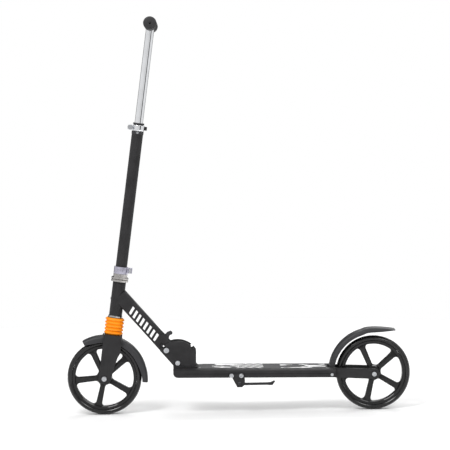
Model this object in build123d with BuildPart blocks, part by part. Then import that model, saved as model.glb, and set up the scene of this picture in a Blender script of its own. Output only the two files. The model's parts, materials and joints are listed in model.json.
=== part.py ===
from build123d import *

import os
from math import asin, atan2, cos, degrees, hypot, radians, sin, tan

# Folding kick scooter, in millimetres. +X points forward, +Y to the rider's
# left, +Z up. The origin is on the ground, half way between the two axles.

os.makedirs("parts", exist_ok=True)

# ---------------------------------------------------------------- clearances
run_gap = 0.05         # radial gap of a shaft that turns or slides in a bore
side_gap = 0.3         # gap between faces that move past each other

# -------------------------------------------------------------------- wheels
wheelbase = 724.0
wheel_radius = 100.0
tyre_width = 30.0
tyre_depth = 13.0      # from the rolling surface to the core's rim
rim_depth = 9.0
rim_width = 26.0
hub_radius = 19.5
hub_width = 36.0
spoke_count = 5
spoke_width_hub = 13.4
spoke_width_rim = 16.6
spoke_thickness = 14.0
spoke_angle = -77.0    # first spoke, from straight ahead, positive upwards
bearing_radius = 11.0
bearing_width = 7.0
axle_radius = 4.0

# ------------------------------------------------------------- steering axis
lean = radians(8.0)    # from the vertical, backwards
axle_lead = 9.0        # front axle ahead of the steering axis
crown_rise = 118.2     # fork crown's top above the axle, along the axis
crown_thickness = 11.0
gaiter_length = 46.0
race_height = 5.7
head_tube_length = 92.0
head_tube_radius = 17.5
steerer_radius = 14.0
stanchion_radius = 11.2
stanchion_flat = 9.6   # half width across the flats that stop it turning
suspension_travel = 12.0
cup_height = 6.0
upper_race_height = 5.6
locknut_height = 9.0
clamp_height = 19.0
column_radius = 15.3
column_length = 377.0
steerer_in_column = 87.0
bar_radius = 11.1
bar_above_column = 293.0
bar_overlap = 70.0     # stem left inside the column at full height
bar_half_width = 178.0
grip_length = 126.0
grip_radius = 17.2
height_travel = 200.0

# ---------------------------------------------------------------------- deck
deck_tilt = radians(0.85)
deck_rise = 23.0       # deck's top above the axles, half way along
deck_width = 114.0
deck_height = 23.6
deck_bevel_width = 8.0
deck_bevel_height = 5.3
deck_wall = 2.8
deck_web_offset = 20.0
deck_web = 2.5
deck_rear_gap = 104.5  # from the rear axle forward to the deck's end
nose_length = 30.0
nose_overhang = 12.0   # nose ahead of the fold pivot
tape_width = 90.0
tape_thickness = 0.8

# ---------------------------------------------------------------------- fold
pivot_setback = 197.5  # fold pivot behind the front axle
pivot_over_deck = 12.6
fold_angle = radians(84.0)
quadrant_radius = 59.0
quadrant_rear = 49.5   # bracket's rear edge behind the pivot
bracket_wall = 4.5
flange_height = 4.5
flange_width = 12.5
neck_half_width = 18.7
neck_below = 13.4      # neck's lower edge under the pivot line
neck_above = 23.8      # neck's upper edge over the pivot line
foot_length = 85.0     # casting's length from the pivot
foot_end_radius = 12.1
pivot_bolt_radius = 4.0
bush_radius = 6.0
stop_reach = 45.5      # stop bolt from the pivot
stop_radius = 3.0
latch_radius = 3.5
latch_seat = 55.5      # locked pin from the pivot
latch_travel = 8.5
latch_slack = 0.3      # pin to notch and slot walls
lug_gap = 45.5         # head tube lug's stub, back from the steering axis
neck_join = 60.0       # where the neck's line meets the axis, above its foot
tube_wall = 2.5

# ------------------------------------------------------------- rear and feet
arm_inner = 28.0
arm_outer = 38.0
arm_end_radius = 14.0
arm_tongue = 50.0
fender_pivot_gap = 114.6   # ahead of the rear axle
fender_pivot_rise = 3.4    # above the rear axle
fender_radius = 121.5
fender_half_width = 25.0
fender_skin = 3.0
fender_bolt_radius = 3.5
stand_x = 0.0
stand_y = 51.5         # leg's pivot from the middle plane
stand_drop = 41.0      # pivot under the deck's top
stand_splay = radians(12.0)
stand_length = 88.0
stand_leg_radius = 3.5
stand_hub = 8.4
stand_hub_radius = 6.2
stand_pin_radius = 2.5
stand_cheek = 3.8
stand_plate = 3.0
stand_foot = 12.0
stand_screws = (21.2, -4.9)
stand_screw_drop = 17.0
pad_start = radians(50.0)
pad_end = radians(64.0)
pad_gap = 6.0          # brake pad to tyre at rest
pad_half_width = 11.0

# ----------------------------------------------------------- derived frames
front_x = wheelbase / 2
rear_x = -wheelbase / 2
foot_x = front_x + (wheel_radius * sin(lean) - axle_lead) / cos(lean)
axis_dir = Vector(-sin(lean), 0, cos(lean))
axis_fore = Vector(cos(lean), 0, sin(lean))
steer = Plane(origin=(foot_x, 0, 0), x_dir=axis_fore, z_dir=axis_dir)
steer_side = Plane(origin=(foot_x, 0, 0), x_dir=axis_fore, z_dir=(0, -1, 0))
axle_station = (wheel_radius - axle_lead * sin(lean)) / cos(lean)

deck_top = wheel_radius + deck_rise
deck_fore = Vector(cos(deck_tilt), 0, sin(deck_tilt))
deck_up = Vector(-sin(deck_tilt), 0, cos(deck_tilt))
deck = Plane(origin=(0, 0, deck_top), x_dir=deck_fore, z_dir=deck_up)
deck_side = Plane(origin=(0, 0, deck_top), x_dir=deck_fore, z_dir=(0, -1, 0))
deck_end = Plane(origin=(0, 0, deck_top), x_dir=(0, 1, 0), z_dir=deck_fore)
deck_rear = rear_x + deck_rear_gap

pivot_x = front_x - pivot_setback
pivot_z = deck_top + pivot_x * tan(deck_tilt) + pivot_over_deck / cos(deck_tilt)
pivot = Vector(pivot_x, 0, pivot_z)
bracket_side = Plane(origin=pivot, x_dir=deck_fore, z_dir=(0, -1, 0))
pivot_on_deck = pivot_x * cos(deck_tilt) + (pivot_z - deck_top) * sin(deck_tilt)
nose_front = pivot_on_deck + nose_overhang
board_front = nose_front - nose_length

# Stations along the steering axis, from the ground up.
crown_top = axle_station + crown_rise
race_bottom = crown_top + gaiter_length
head_bottom = race_bottom + race_height + side_gap
head_top = head_bottom + head_tube_length
cup_top = head_top + cup_height
upper_race_bottom = cup_top + side_gap
upper_race_top = upper_race_bottom + upper_race_height
locknut_top = upper_race_top + locknut_height
clamp_top = locknut_top + clamp_height
column_bottom = locknut_top
column_top = column_bottom + column_length
bar_station = column_top + bar_above_column
stem_bottom = column_top - bar_overlap
steerer_top = column_bottom + steerer_in_column

# Direction of the neck, from the fold pivot to the head tube.
join_x = foot_x - (head_bottom + neck_join) * sin(lean)
join_z = (head_bottom + neck_join) * cos(lean)
neck_offset = (neck_above - neck_below) / 2
neck_span = hypot(join_x - pivot_x, join_z - pivot_z)
neck_angle = atan2(join_z - pivot_z, join_x - pivot_x) - asin(neck_offset / neck_span)
neck_dir = Vector(cos(neck_angle), 0, sin(neck_angle))
neck_side = Plane(origin=pivot, x_dir=neck_dir, z_dir=(0, -1, 0))
neck_section = Plane(origin=pivot, x_dir=(0, 1, 0), z_dir=neck_dir)
neck_reach = (neck_span**2 - neck_offset**2) ** 0.5
lug_start = neck_reach - lug_gap


# --------------------------------------------------------- building helpers
def disc(plane, radius, start, end, bore=0.0, mode=Mode.ADD):
    """A round bar or ring along the plane's normal, between two stations."""
    with BuildSketch(plane.offset(start)) as ring:
        Circle(radius)
        if bore:
            Circle(bore, mode=Mode.SUBTRACT)
    extrude(ring.sketch, amount=end - start, mode=mode)


def slab(plane, points, y_high, y_low, mode=Mode.ADD):
    """A flat-sided plate with the given side outline, between two Y values."""
    with BuildSketch(plane.offset(-y_high)) as outline:
        with BuildLine():
            Polyline(*points, close=True)
        make_face()
    extrude(outline.sketch, amount=y_high - y_low, mode=mode)


def block(plane, x, y, z, mode=Mode.ADD):
    """A rectangular block between pairs of x, y and z values of a plane."""
    with BuildSketch(plane.offset(z[0])) as base:
        with Locations(((x[0] + x[1]) / 2, (y[0] + y[1]) / 2)):
            Rectangle(x[1] - x[0], y[1] - y[0])
    extrude(base.sketch, amount=z[1] - z[0], mode=mode)


def cross_axis(x, z):
    """A plane on the row's XZ plane at a point, facing the rider's left."""
    return Plane(origin=(x, 0, z), x_dir=(1, 0, 0), z_dir=(0, 1, 0))


def point_on(plane, x, y):
    """The world point of a plane's own x and y."""
    return plane.from_local_coords(Vector(x, y, 0))


def cross_bolt(plane, radius, left, right, head_radius, head_height):
    """A socket-head bolt across the scooter, with its nut as its own solid."""
    nut_height = head_height + 1.0
    disc(plane, radius, -right - nut_height - 1.5, left)
    disc(plane, head_radius, left, left + head_height)
    with BuildSketch(plane.offset(left + head_height)) as socket:
        RegularPolygon(head_radius * 0.5, 6)
    extrude(socket.sketch, amount=-head_height * 0.6, mode=Mode.SUBTRACT)
    with BuildSketch(plane.offset(-right)) as nut:
        RegularPolygon(head_radius * 1.15, 6)
        Circle(radius + run_gap, mode=Mode.SUBTRACT)
    extrude(nut.sketch, amount=-nut_height)


def coil(axis_plane, radius, wire, start, length, turns):
    """A wound spring along a plane's normal."""
    base = axis_plane.offset(start).origin
    with BuildLine() as path:
        Helix(length / turns, length, radius, center=base, direction=axis_plane.z_dir)
    with BuildSketch(Plane(path.line @ 0, z_dir=path.line % 0)) as section:
        Circle(wire)
    sweep(sections=section.sketch, path=path.line)


def finish(builder, name):
    """Label a finished piece and write it to its own file."""
    builder.part.label = name
    export_step(builder.part, f"parts/{name}.step")


# -------------------------------------------------------------------- wheels
rim_outer = wheel_radius - tyre_depth
rim_inner = rim_outer - rim_depth


def wheel_core(axle_x, name):
    """Moulded core: hub, five tapered spokes and a rim."""
    axle = cross_axis(axle_x, wheel_radius)
    with BuildPart() as core:
        disc(axle, hub_radius, -hub_width / 2, hub_width / 2)
        disc(axle, rim_outer, -rim_width / 2, rim_width / 2, rim_inner)
        for number in range(spoke_count):
            turn = radians(spoke_angle + number * 360 / spoke_count)
            # The plane's y runs downwards, so the spoke's angle is negated.
            along = Plane(
                origin=(axle_x, 0, wheel_radius),
                x_dir=(cos(turn), 0, sin(turn)),
                z_dir=(0, -1, 0),
            )
            inner, outer = hub_radius * 0.6, rim_inner + rim_depth * 0.5
            corners = [
                (inner, -spoke_width_hub / 2),
                (outer, -spoke_width_rim / 2),
                (outer, spoke_width_rim / 2),
                (inner, spoke_width_hub / 2),
            ]
            slab(along, corners, spoke_thickness / 2, -spoke_thickness / 2)
        disc(axle, bearing_radius * 0.75, -hub_width, hub_width, mode=Mode.SUBTRACT)
        for side in (-1, 1):
            seat = side * (hub_width / 2 - bearing_width)
            disc(axle, bearing_radius, seat, side * hub_width, mode=Mode.SUBTRACT)
    finish(core, name)


def wheel_tyre(axle_x, name):
    """Cast tyre with a rounded tread, seated on the core's rim."""
    half = tyre_width / 2
    profile = Plane(origin=(axle_x, 0, wheel_radius), x_dir=(0, 1, 0), z_dir=(-1, 0, 0))
    with BuildPart() as tyre:
        with BuildSketch(profile) as section:
            with BuildLine():
                Line((-rim_width / 2, rim_outer), (rim_width / 2, rim_outer))
                Line((rim_width / 2, rim_outer), (half, rim_outer + 3))
                Line((half, rim_outer + 3), (half, wheel_radius - 6))
                ThreePointArc(
                    (half, wheel_radius - 6), (0, wheel_radius), (-half, wheel_radius - 6)
                )
                Line((-half, wheel_radius - 6), (-half, rim_outer + 3))
                Line((-half, rim_outer + 3), (-rim_width / 2, rim_outer))
            make_face()
        revolve(axis=Axis((axle_x, 0, wheel_radius), (0, 1, 0)))
    finish(tyre, name)


def wheel_bearings(axle_x, name):
    """Two sealed bearings, one in each end of the hub."""
    axle = cross_axis(axle_x, wheel_radius)
    with BuildPart() as pair:
        for side in (-1, 1):
            outer = side * hub_width / 2
            inner = side * (hub_width / 2 - bearing_width)
            disc(axle, bearing_radius, inner, outer, axle_radius + run_gap)
    finish(pair, name)


def wheel_spacers(axle_x, reach, name):
    """A sleeve between the bearings and a spacer on each side of the hub."""
    axle = cross_axis(axle_x, wheel_radius)
    sleeve = hub_width / 2 - bearing_width - side_gap
    with BuildPart() as spacers:
        disc(axle, axle_radius + 2, -sleeve, sleeve, axle_radius + run_gap)
        for side in (-1, 1):
            start = side * (hub_width / 2 + side_gap)
            disc(axle, axle_radius + 3, start, side * reach, axle_radius + run_gap)
    finish(spacers, name)


leg_inner = 22.0
leg_outer = 33.0
for wheel_x, wheel_name in ((front_x, "front"), (rear_x, "rear")):
    wheel_core(wheel_x, wheel_name + "_wheel_core")
    wheel_tyre(wheel_x, wheel_name + "_tyre")
    wheel_bearings(wheel_x, wheel_name + "_bearings")
wheel_spacers(front_x, leg_inner, "front_spacers")
wheel_spacers(rear_x, arm_inner, "rear_spacers")

with BuildPart() as front_axle:
    cross_bolt(
        cross_axis(front_x, wheel_radius), axle_radius, leg_outer, leg_outer, 6.5, 5.0
    )
finish(front_axle, "front_axle")

with BuildPart() as rear_axle:
    cross_bolt(
        cross_axis(rear_x, wheel_radius), axle_radius, arm_outer, arm_outer, 6.0, 4.0
    )
finish(rear_axle, "rear_axle")

# ---------------------------------------------------------------------- fork
crown_bottom = crown_top - crown_thickness
crown_front = 23.4
crown_back = -24.4
leg_end_radius = 14.0
leg_outline = [
    (crown_back, crown_top),
    (crown_back - 1.4, axle_station + 74),
    (crown_back + 4.4, axle_station + 61),
    (crown_back + 10.0, axle_station + 34),
    (axle_lead - leg_end_radius, axle_station),
    (axle_lead + leg_end_radius, axle_station),
    (crown_front + 0.4, axle_station + 31),
    (crown_front + 0.8, axle_station + 87),
    (crown_front, crown_top),
]
with BuildPart() as fork:
    for y_outer, y_inner in ((leg_outer, leg_inner), (-leg_inner, -leg_outer)):
        slab(steer_side, leg_outline, y_outer, y_inner)
    legs = fork.edges().filter_by(Axis.Y).group_by(Axis.Z)
    fillet(legs[-1] + legs[-2], 4.0)
    axle_boss = cross_axis(front_x, wheel_radius)
    for side in (-1, 1):
        disc(axle_boss, leg_end_radius, side * leg_inner, side * leg_outer)
    block(
        steer,
        (crown_back + 4.5, crown_front - 4.5),
        (-leg_inner, leg_inner),
        (crown_bottom, crown_top),
    )
    disc(steer, stanchion_radius, crown_bottom, crown_top, mode=Mode.SUBTRACT)
    disc(axle_boss, axle_radius + run_gap, -leg_outer, leg_outer, mode=Mode.SUBTRACT)
finish(fork, "fork")

stanchion_top = race_bottom + 58.0
rebound_height = 6.0
with BuildPart() as stanchion:
    disc(steer, stanchion_radius, crown_bottom, crown_top)
    with BuildSketch(steer.offset(crown_top)):
        Circle(stanchion_radius)
        Rectangle(4 * stanchion_radius, 2 * stanchion_flat, mode=Mode.INTERSECT)
    extrude(amount=stanchion_top - crown_top)
    disc(steer, 3.0, stanchion_top - 25, stanchion_top, mode=Mode.SUBTRACT)
finish(stanchion, "stanchion")

with BuildPart() as rebound_bolt:
    disc(steer, 3.0, stanchion_top - 25, stanchion_top)
    disc(steer, stanchion_radius, stanchion_top, stanchion_top + 2.5)
    disc(steer, 5.0, stanchion_top + 2.5, stanchion_top + rebound_height)
finish(rebound_bolt, "rebound_bolt")

spring_wire = 2.0
spring_radius = 15.0
with BuildPart() as suspension_spring:
    coil(
        steer,
        spring_radius,
        spring_wire,
        crown_top + spring_wire + side_gap,
        gaiter_length - 2 * (spring_wire + side_gap),
        5,
    )
finish(suspension_spring, "suspension_spring")

gaiter_ribs = 5
gaiter_outer = 24.4
gaiter_waist = 21.2
gaiter_wall = 1.6
with BuildPart() as bellows:
    with BuildSketch(steer_side) as gaiter:
        rib_pitch = (gaiter_length - 2 * side_gap) / gaiter_ribs
        outside = []
        for rib in range(gaiter_ribs):
            base = crown_top + side_gap + rib * rib_pitch
            outside.append((gaiter_waist, base))
            outside.append((gaiter_outer, base + rib_pitch * 0.35))
            outside.append((gaiter_outer, base + rib_pitch * 0.65))
        outside.append((gaiter_waist, race_bottom - side_gap))
        inside = [(radius - gaiter_wall, height) for radius, height in reversed(outside)]
        with BuildLine():
            Polyline(*outside, *inside, close=True)
        make_face()
    revolve(axis=Axis((foot_x, 0, 0), axis_dir))
finish(bellows, "bellows")

# The mudguard is a channel over the tyre, cut away round the fork crown.
guard_outer = wheel_radius + 15.0
guard_inner = wheel_radius - 5.0
guard_skin = 2.2
guard_half_width = 20.5
guard_front = radians(60.0)
guard_rear = radians(187.0)
guard_mid = (guard_front + guard_rear) / 2
guard_side = Plane(origin=(front_x, 0, wheel_radius), x_dir=(1, 0, 0), z_dir=(0, -1, 0))


def sector(plane, outer, inner, start, end, y_high, y_low, mode=Mode.ADD):
    """A curved band between two radii and two angles of a side plane."""
    middle = (start + end) / 2
    with BuildSketch(plane.offset(-y_high)) as band:
        with BuildLine():
            ThreePointArc(
                (outer * cos(start), outer * sin(start)),
                (outer * cos(middle), outer * sin(middle)),
                (outer * cos(end), outer * sin(end)),
            )
            Line(
                (outer * cos(end), outer * sin(end)), (inner * cos(end), inner * sin(end))
            )
            ThreePointArc(
                (inner * cos(end), inner * sin(end)),
                (inner * cos(middle), inner * sin(middle)),
                (inner * cos(start), inner * sin(start)),
            )
            Line(
                (inner * cos(start), inner * sin(start)),
                (outer * cos(start), outer * sin(start)),
            )
        make_face()
    extrude(band.sketch, amount=y_high - y_low, mode=mode)


guard_tab_front = crown_front + 2.2
guard_tab_top = crown_top - 0.5
tab_half_width = 9.5
tab_screws = (-5.0, 5.0)
tab_station = crown_top - 4.6
with BuildPart() as front_mudguard:
    sector(
        guard_side,
        guard_outer,
        guard_inner,
        guard_front,
        guard_rear,
        guard_half_width,
        -guard_half_width,
    )
    sector(
        guard_side,
        guard_outer - guard_skin,
        guard_inner - 1,
        guard_front - 0.1,
        guard_rear + 0.1,
        guard_half_width - guard_skin,
        guard_skin - guard_half_width,
        mode=Mode.SUBTRACT,
    )
    block(
        steer,
        (crown_back - 0.2, crown_front + 0.2),
        (-leg_inner, leg_inner),
        (crown_bottom - side_gap, crown_top + 20),
        mode=Mode.SUBTRACT,
    )
    block(
        steer,
        (crown_front + 0.2, guard_tab_front),
        (-tab_half_width, tab_half_width),
        (crown_bottom - 1.5, guard_tab_top),
    )
    for screw_y in tab_screws:
        tab_axis = Plane(
            origin=steer.from_local_coords(Vector(crown_front, screw_y, tab_station)),
            x_dir=(0, 1, 0),
            z_dir=axis_fore,
        )
        disc(tab_axis, 2.1, -4, 4, mode=Mode.SUBTRACT)
        disc(tab_axis, 4.0, guard_tab_front - crown_front, 9, mode=Mode.SUBTRACT)
finish(front_mudguard, "front_mudguard")

with BuildPart() as mudguard_screws:
    for screw_y in tab_screws:
        tab_axis = Plane(
            origin=steer.from_local_coords(Vector(guard_tab_front, screw_y, tab_station)),
            x_dir=(0, 1, 0),
            z_dir=axis_fore,
        )
        disc(tab_axis, 3.6, 0, 2.4)
        disc(tab_axis, 2.0, -2.1, 0)
finish(mudguard_screws, "mudguard_screws")

# ------------------------------------------------- steerer tube and headset
key_top = stanchion_top - side_gap
with BuildPart() as steerer_tube:
    disc(steer, steerer_radius, race_bottom, steerer_top)
    with BuildSketch(steer.offset(race_bottom)):
        Circle(stanchion_radius + run_gap)
        Rectangle(
            4 * stanchion_radius, 2 * (stanchion_flat + run_gap), mode=Mode.INTERSECT
        )
    extrude(amount=key_top - race_bottom, mode=Mode.SUBTRACT)
    disc(steer, stanchion_radius + run_gap, key_top, steerer_top, mode=Mode.SUBTRACT)
finish(steerer_tube, "steerer_tube")

cup_radius = 22.6
with BuildPart() as headset_races:
    disc(steer, 19.0, race_bottom, race_bottom + race_height, steerer_radius)
    disc(steer, cup_radius + 0.4, upper_race_bottom, upper_race_top, steerer_radius)
    rims = headset_races.edges().filter_by(GeomType.CIRCLE).sort_by(SortBy.RADIUS)
    chamfer(rims[-4:], 1.2)
finish(headset_races, "headset_races")

bearing_wall = 2.4
with BuildPart() as head_tube:
    disc(steer, head_tube_radius, head_bottom, head_top)
    with BuildSketch(neck_section.offset(lug_start)) as stub:
        with Locations((0, neck_offset)):
            Rectangle(2 * neck_half_width - 1.4, neck_above + neck_below)
        chamfer(stub.vertices().group_by(Axis.Y)[-1], length=5.6, length2=7.0)
        fillet(stub.vertices().group_by(Axis.Y)[0], 4.0)
    extrude(amount=lug_gap - head_tube_radius * 0.4)
    disc(steer, head_tube_radius * 0.9, head_bottom, head_top)
    disc(steer, steerer_radius + 0.6, head_bottom, head_top, mode=Mode.SUBTRACT)
    disc(
        steer,
        steerer_radius + bearing_wall,
        head_bottom,
        head_bottom + 7,
        mode=Mode.SUBTRACT,
    )
    rivet_axis = Plane(
        origin=steer.from_local_coords(Vector(0, 0, head_bottom + 45)),
        x_dir=(0, 1, 0),
        z_dir=axis_fore,
    )
    disc(rivet_axis, 2.0, 0, head_tube_radius + 2, mode=Mode.SUBTRACT)
finish(head_tube, "head_tube")

with BuildPart() as neck_rivet:
    disc(rivet_axis, 2.0, steerer_radius + 0.8, head_tube_radius)
    disc(rivet_axis, 3.4, head_tube_radius, head_tube_radius + 1.6)
finish(neck_rivet, "neck_rivet")

cup_bearing_radius = 19.5
with BuildPart() as upper_cup:
    disc(steer, cup_radius, head_top, cup_top, steerer_radius + 0.6)
    disc(steer, cup_bearing_radius, head_top + 1, cup_top, mode=Mode.SUBTRACT)
    chamfer(upper_cup.edges().filter_by(GeomType.CIRCLE).sort_by(SortBy.RADIUS)[-1:], 1.2)
finish(upper_cup, "upper_cup")

with BuildPart() as headset_bearings:
    disc(
        steer,
        steerer_radius + bearing_wall,
        head_bottom,
        head_bottom + 7,
        steerer_radius + run_gap,
    )
    disc(steer, cup_bearing_radius, head_top + 1, cup_top, steerer_radius + run_gap)
finish(headset_bearings, "headset_bearings")

locknut_radius = 18.6
locknut_flutes = 24
with BuildPart() as headset_locknut:
    disc(steer, locknut_radius, upper_race_top, locknut_top, steerer_radius)
    with BuildSketch(steer.offset(upper_race_top + 2)):
        with PolarLocations(locknut_radius + 0.3, locknut_flutes):
            Circle(1.0)
    extrude(amount=locknut_height - 4, mode=Mode.SUBTRACT)
finish(headset_locknut, "headset_locknut")

# ------------------------------------------------ clamp collar and column
ear_back = -30.0
ear_half_width = 9.0
collar_radius = 18.9
slit = 2.0
clamp_bolt_n = ear_back + 5.5
bolt_drops = (4.5, 11.5)
with BuildPart() as clamp_collar:
    disc(steer, collar_radius, column_bottom + side_gap, clamp_top, column_radius)
    block(
        steer,
        (ear_back, -column_radius - 1),
        (-ear_half_width, ear_half_width),
        (clamp_top - 15, clamp_top - 1),
    )
    block(
        steer,
        (ear_back - 1, -column_radius + 2),
        (-slit / 2, slit / 2),
        (column_bottom, clamp_top),
        mode=Mode.SUBTRACT,
    )
    disc(steer, column_radius, column_bottom, clamp_top, mode=Mode.SUBTRACT)
    for drop in bolt_drops:
        bolt_axis = Plane(
            origin=steer.from_local_coords(Vector(clamp_bolt_n, 0, clamp_top - drop)),
            x_dir=axis_fore,
            z_dir=(0, 1, 0),
        )
        disc(bolt_axis, 2.05, -ear_half_width, ear_half_width, mode=Mode.SUBTRACT)
finish(clamp_collar, "clamp_collar")

column_inner = steerer_radius
with BuildPart() as column:
    disc(steer, column_radius, column_bottom, column_top, column_inner)
    block(
        steer,
        (-column_radius - 1, -column_inner + 2),
        (-slit / 2, slit / 2),
        (column_bottom, clamp_top + 8),
        mode=Mode.SUBTRACT,
    )
finish(column, "column")

bush_flange = 8.0
bush_neck_radius = 13.4
clamp_zone = 17.0
bush_top = column_top + bush_flange + clamp_zone + 5.0
bush_depth = 56.0
with BuildPart() as top_bush:
    disc(steer, column_inner, column_top - bush_depth, column_top)
    disc(steer, column_radius + 0.7, column_top, column_top + bush_flange)
    disc(steer, bush_neck_radius, column_top + bush_flange, bush_top - 4)
    disc(steer, bush_neck_radius + 1.5, bush_top - 4, bush_top)
    disc(
        steer, bar_radius + run_gap, column_top - bush_depth, bush_top, mode=Mode.SUBTRACT
    )
    block(
        steer,
        (0, column_radius + 2),
        (-slit / 2, slit / 2),
        (column_top + bush_flange, bush_top),
        mode=Mode.SUBTRACT,
    )
    screw_axis = Plane(
        origin=steer.from_local_coords(Vector(0, 0, column_top + bush_flange / 2)),
        x_dir=axis_fore,
        z_dir=(0, 1, 0),
    )
    disc(screw_axis, 2.0, column_radius - 2, column_radius + 2, mode=Mode.SUBTRACT)
finish(top_bush, "top_bush")

with BuildPart() as column_bolts:
    disc(screw_axis, 2.0, column_radius - 1.8, column_radius + 0.7)
    disc(screw_axis, 3.2, column_radius + 0.7, column_radius + 2.4)
    for drop in bolt_drops:
        bolt_axis = Plane(
            origin=steer.from_local_coords(Vector(clamp_bolt_n, 0, clamp_top - drop)),
            x_dir=axis_fore,
            z_dir=(0, 1, 0),
        )
        disc(bolt_axis, 2.0, -ear_half_width - 2, ear_half_width)
        disc(bolt_axis, 3.2, ear_half_width, ear_half_width + 3.5)
finish(column_bolts, "column_bolts")

# ------------------------------------------------------------ height clamp
qr_bottom = column_top + bush_flange + 0.8
qr_top = qr_bottom + clamp_zone - 1.6
qr_station = (qr_bottom + qr_top) / 2
qr_forward = 21.0
qr_ear = 7.5
skewer_radius = 2.5
qr_radius = 16.2
skewer_axis = Plane(
    origin=steer.from_local_coords(Vector(qr_forward, 0, qr_station)),
    x_dir=axis_fore,
    z_dir=(0, 1, 0),
)
with BuildPart() as height_clamp:
    disc(steer, qr_radius, qr_bottom, qr_top)
    block(steer, (0, qr_forward), (-qr_ear, qr_ear), (qr_bottom, qr_top))
    disc(skewer_axis, (qr_top - qr_bottom) / 2, -qr_ear, qr_ear)
    disc(steer, bush_neck_radius, qr_bottom, qr_top, mode=Mode.SUBTRACT)
    block(
        steer,
        (0, qr_forward + 10),
        (-slit / 2, slit / 2),
        (qr_bottom - 1, qr_top + 1),
        mode=Mode.SUBTRACT,
    )
    disc(skewer_axis, skewer_radius + run_gap, -qr_ear, qr_ear, mode=Mode.SUBTRACT)
finish(height_clamp, "height_clamp")

cam_radius = 6.5
knuckle_radius = 3.2
knuckle_half = 2.8
cam_offset = qr_ear + cam_radius + 1.5
cam_axis = Plane(
    origin=steer.from_local_coords(Vector(qr_forward, -cam_offset, 0)),
    x_dir=axis_fore,
    z_dir=axis_dir,
)
with BuildPart() as qr_skewer:
    disc(skewer_axis, skewer_radius, -cam_offset, qr_ear + 3)
    disc(skewer_axis, 6.6, qr_ear, qr_ear + 6)
    disc(skewer_axis, 4.6, qr_ear + 6, qr_ear + 8)
    disc(cam_axis, knuckle_radius, qr_station - knuckle_half, qr_station + knuckle_half)
    disc(cam_axis, 2.0, qr_station - 6, qr_station + 6)
finish(qr_skewer, "qr_skewer")

lever_reach = 45.0
lever_half_height = 5.0
with BuildPart() as qr_lever:
    disc(cam_axis, cam_radius, qr_station - 6, qr_station + 6)
    block(
        cam_axis,
        (-lever_reach + 4, 0),
        (-cam_radius, -cam_radius + 4.0),
        (qr_station - lever_half_height, qr_station + lever_half_height),
    )
    tip = cam_axis.offset(qr_station - lever_half_height)
    with BuildSketch(tip):
        with Locations((-lever_reach + 4, -cam_radius + 2.0)):
            Circle(3.2)
    extrude(amount=2 * lever_half_height)
    disc(cam_axis, 2.0 + run_gap, qr_station - 6, qr_station + 6, mode=Mode.SUBTRACT)
    block(
        cam_axis,
        (-knuckle_radius - 0.5, cam_radius + 1),
        (-knuckle_radius - 0.5, cam_radius + 1),
        (
            qr_station - knuckle_half - 2 * run_gap - side_gap,
            qr_station + knuckle_half + 2 * run_gap + side_gap,
        ),
        mode=Mode.SUBTRACT,
    )
finish(qr_lever, "qr_lever")

# -------------------------------------------------------------------- T-bar
bar_axis = Plane(
    origin=steer.from_local_coords(Vector(0, 0, bar_station)),
    x_dir=axis_fore,
    z_dir=(0, 1, 0),
)
bar_wall = 1.8
weld = 0.5
with BuildPart() as t_bar:
    disc(bar_axis, bar_radius + weld, -bar_radius - 3, bar_radius + 3)
    disc(steer, bar_radius, stem_bottom, bar_station)
    disc(bar_axis, bar_radius, -bar_half_width, bar_half_width)
    disc(
        steer, bar_radius - bar_wall, stem_bottom, bar_station - 2 * bar_radius,
        mode=Mode.SUBTRACT,
    )
    disc(
        bar_axis, bar_radius - bar_wall, -bar_half_width, bar_half_width,
        mode=Mode.SUBTRACT,
    )
finish(t_bar, "t_bar")

with BuildPart() as stem_plug:
    disc(steer, bar_radius - bar_wall, stem_bottom, stem_bottom + 12)
    disc(steer, bar_radius, stem_bottom - 3, stem_bottom)
finish(stem_plug, "stem_plug")

for side, side_name in ((1, "left"), (-1, "right")):
    with BuildPart() as grip:
        inboard = side * (bar_half_width + 2 - grip_length)
        outboard = side * (bar_half_width + 2)
        disc(bar_axis, grip_radius, inboard, outboard)
        fillet(grip.edges().filter_by(GeomType.CIRCLE), 3.0)
        disc(bar_axis, bar_radius, inboard, side * bar_half_width, mode=Mode.SUBTRACT)
        disc(bar_axis, 2.5, side * bar_half_width, outboard, mode=Mode.SUBTRACT)
    finish(grip, f"grip_{side_name}")

# --------------------------------------------------------------------- neck
with BuildPart() as down_tube:
    with BuildSketch(neck_section.offset(foot_length)) as shell:
        with Locations((0, neck_offset)):
            Rectangle(2 * neck_half_width - 1.4, neck_above + neck_below)
        chamfer(shell.vertices().group_by(Axis.Y)[-1], length=5.6, length2=7.0)
        fillet(shell.vertices().group_by(Axis.Y)[0], 4.0)
        offset(amount=-tube_wall, mode=Mode.SUBTRACT)
    extrude(amount=lug_start - foot_length)
finish(down_tube, "down_tube")

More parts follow.
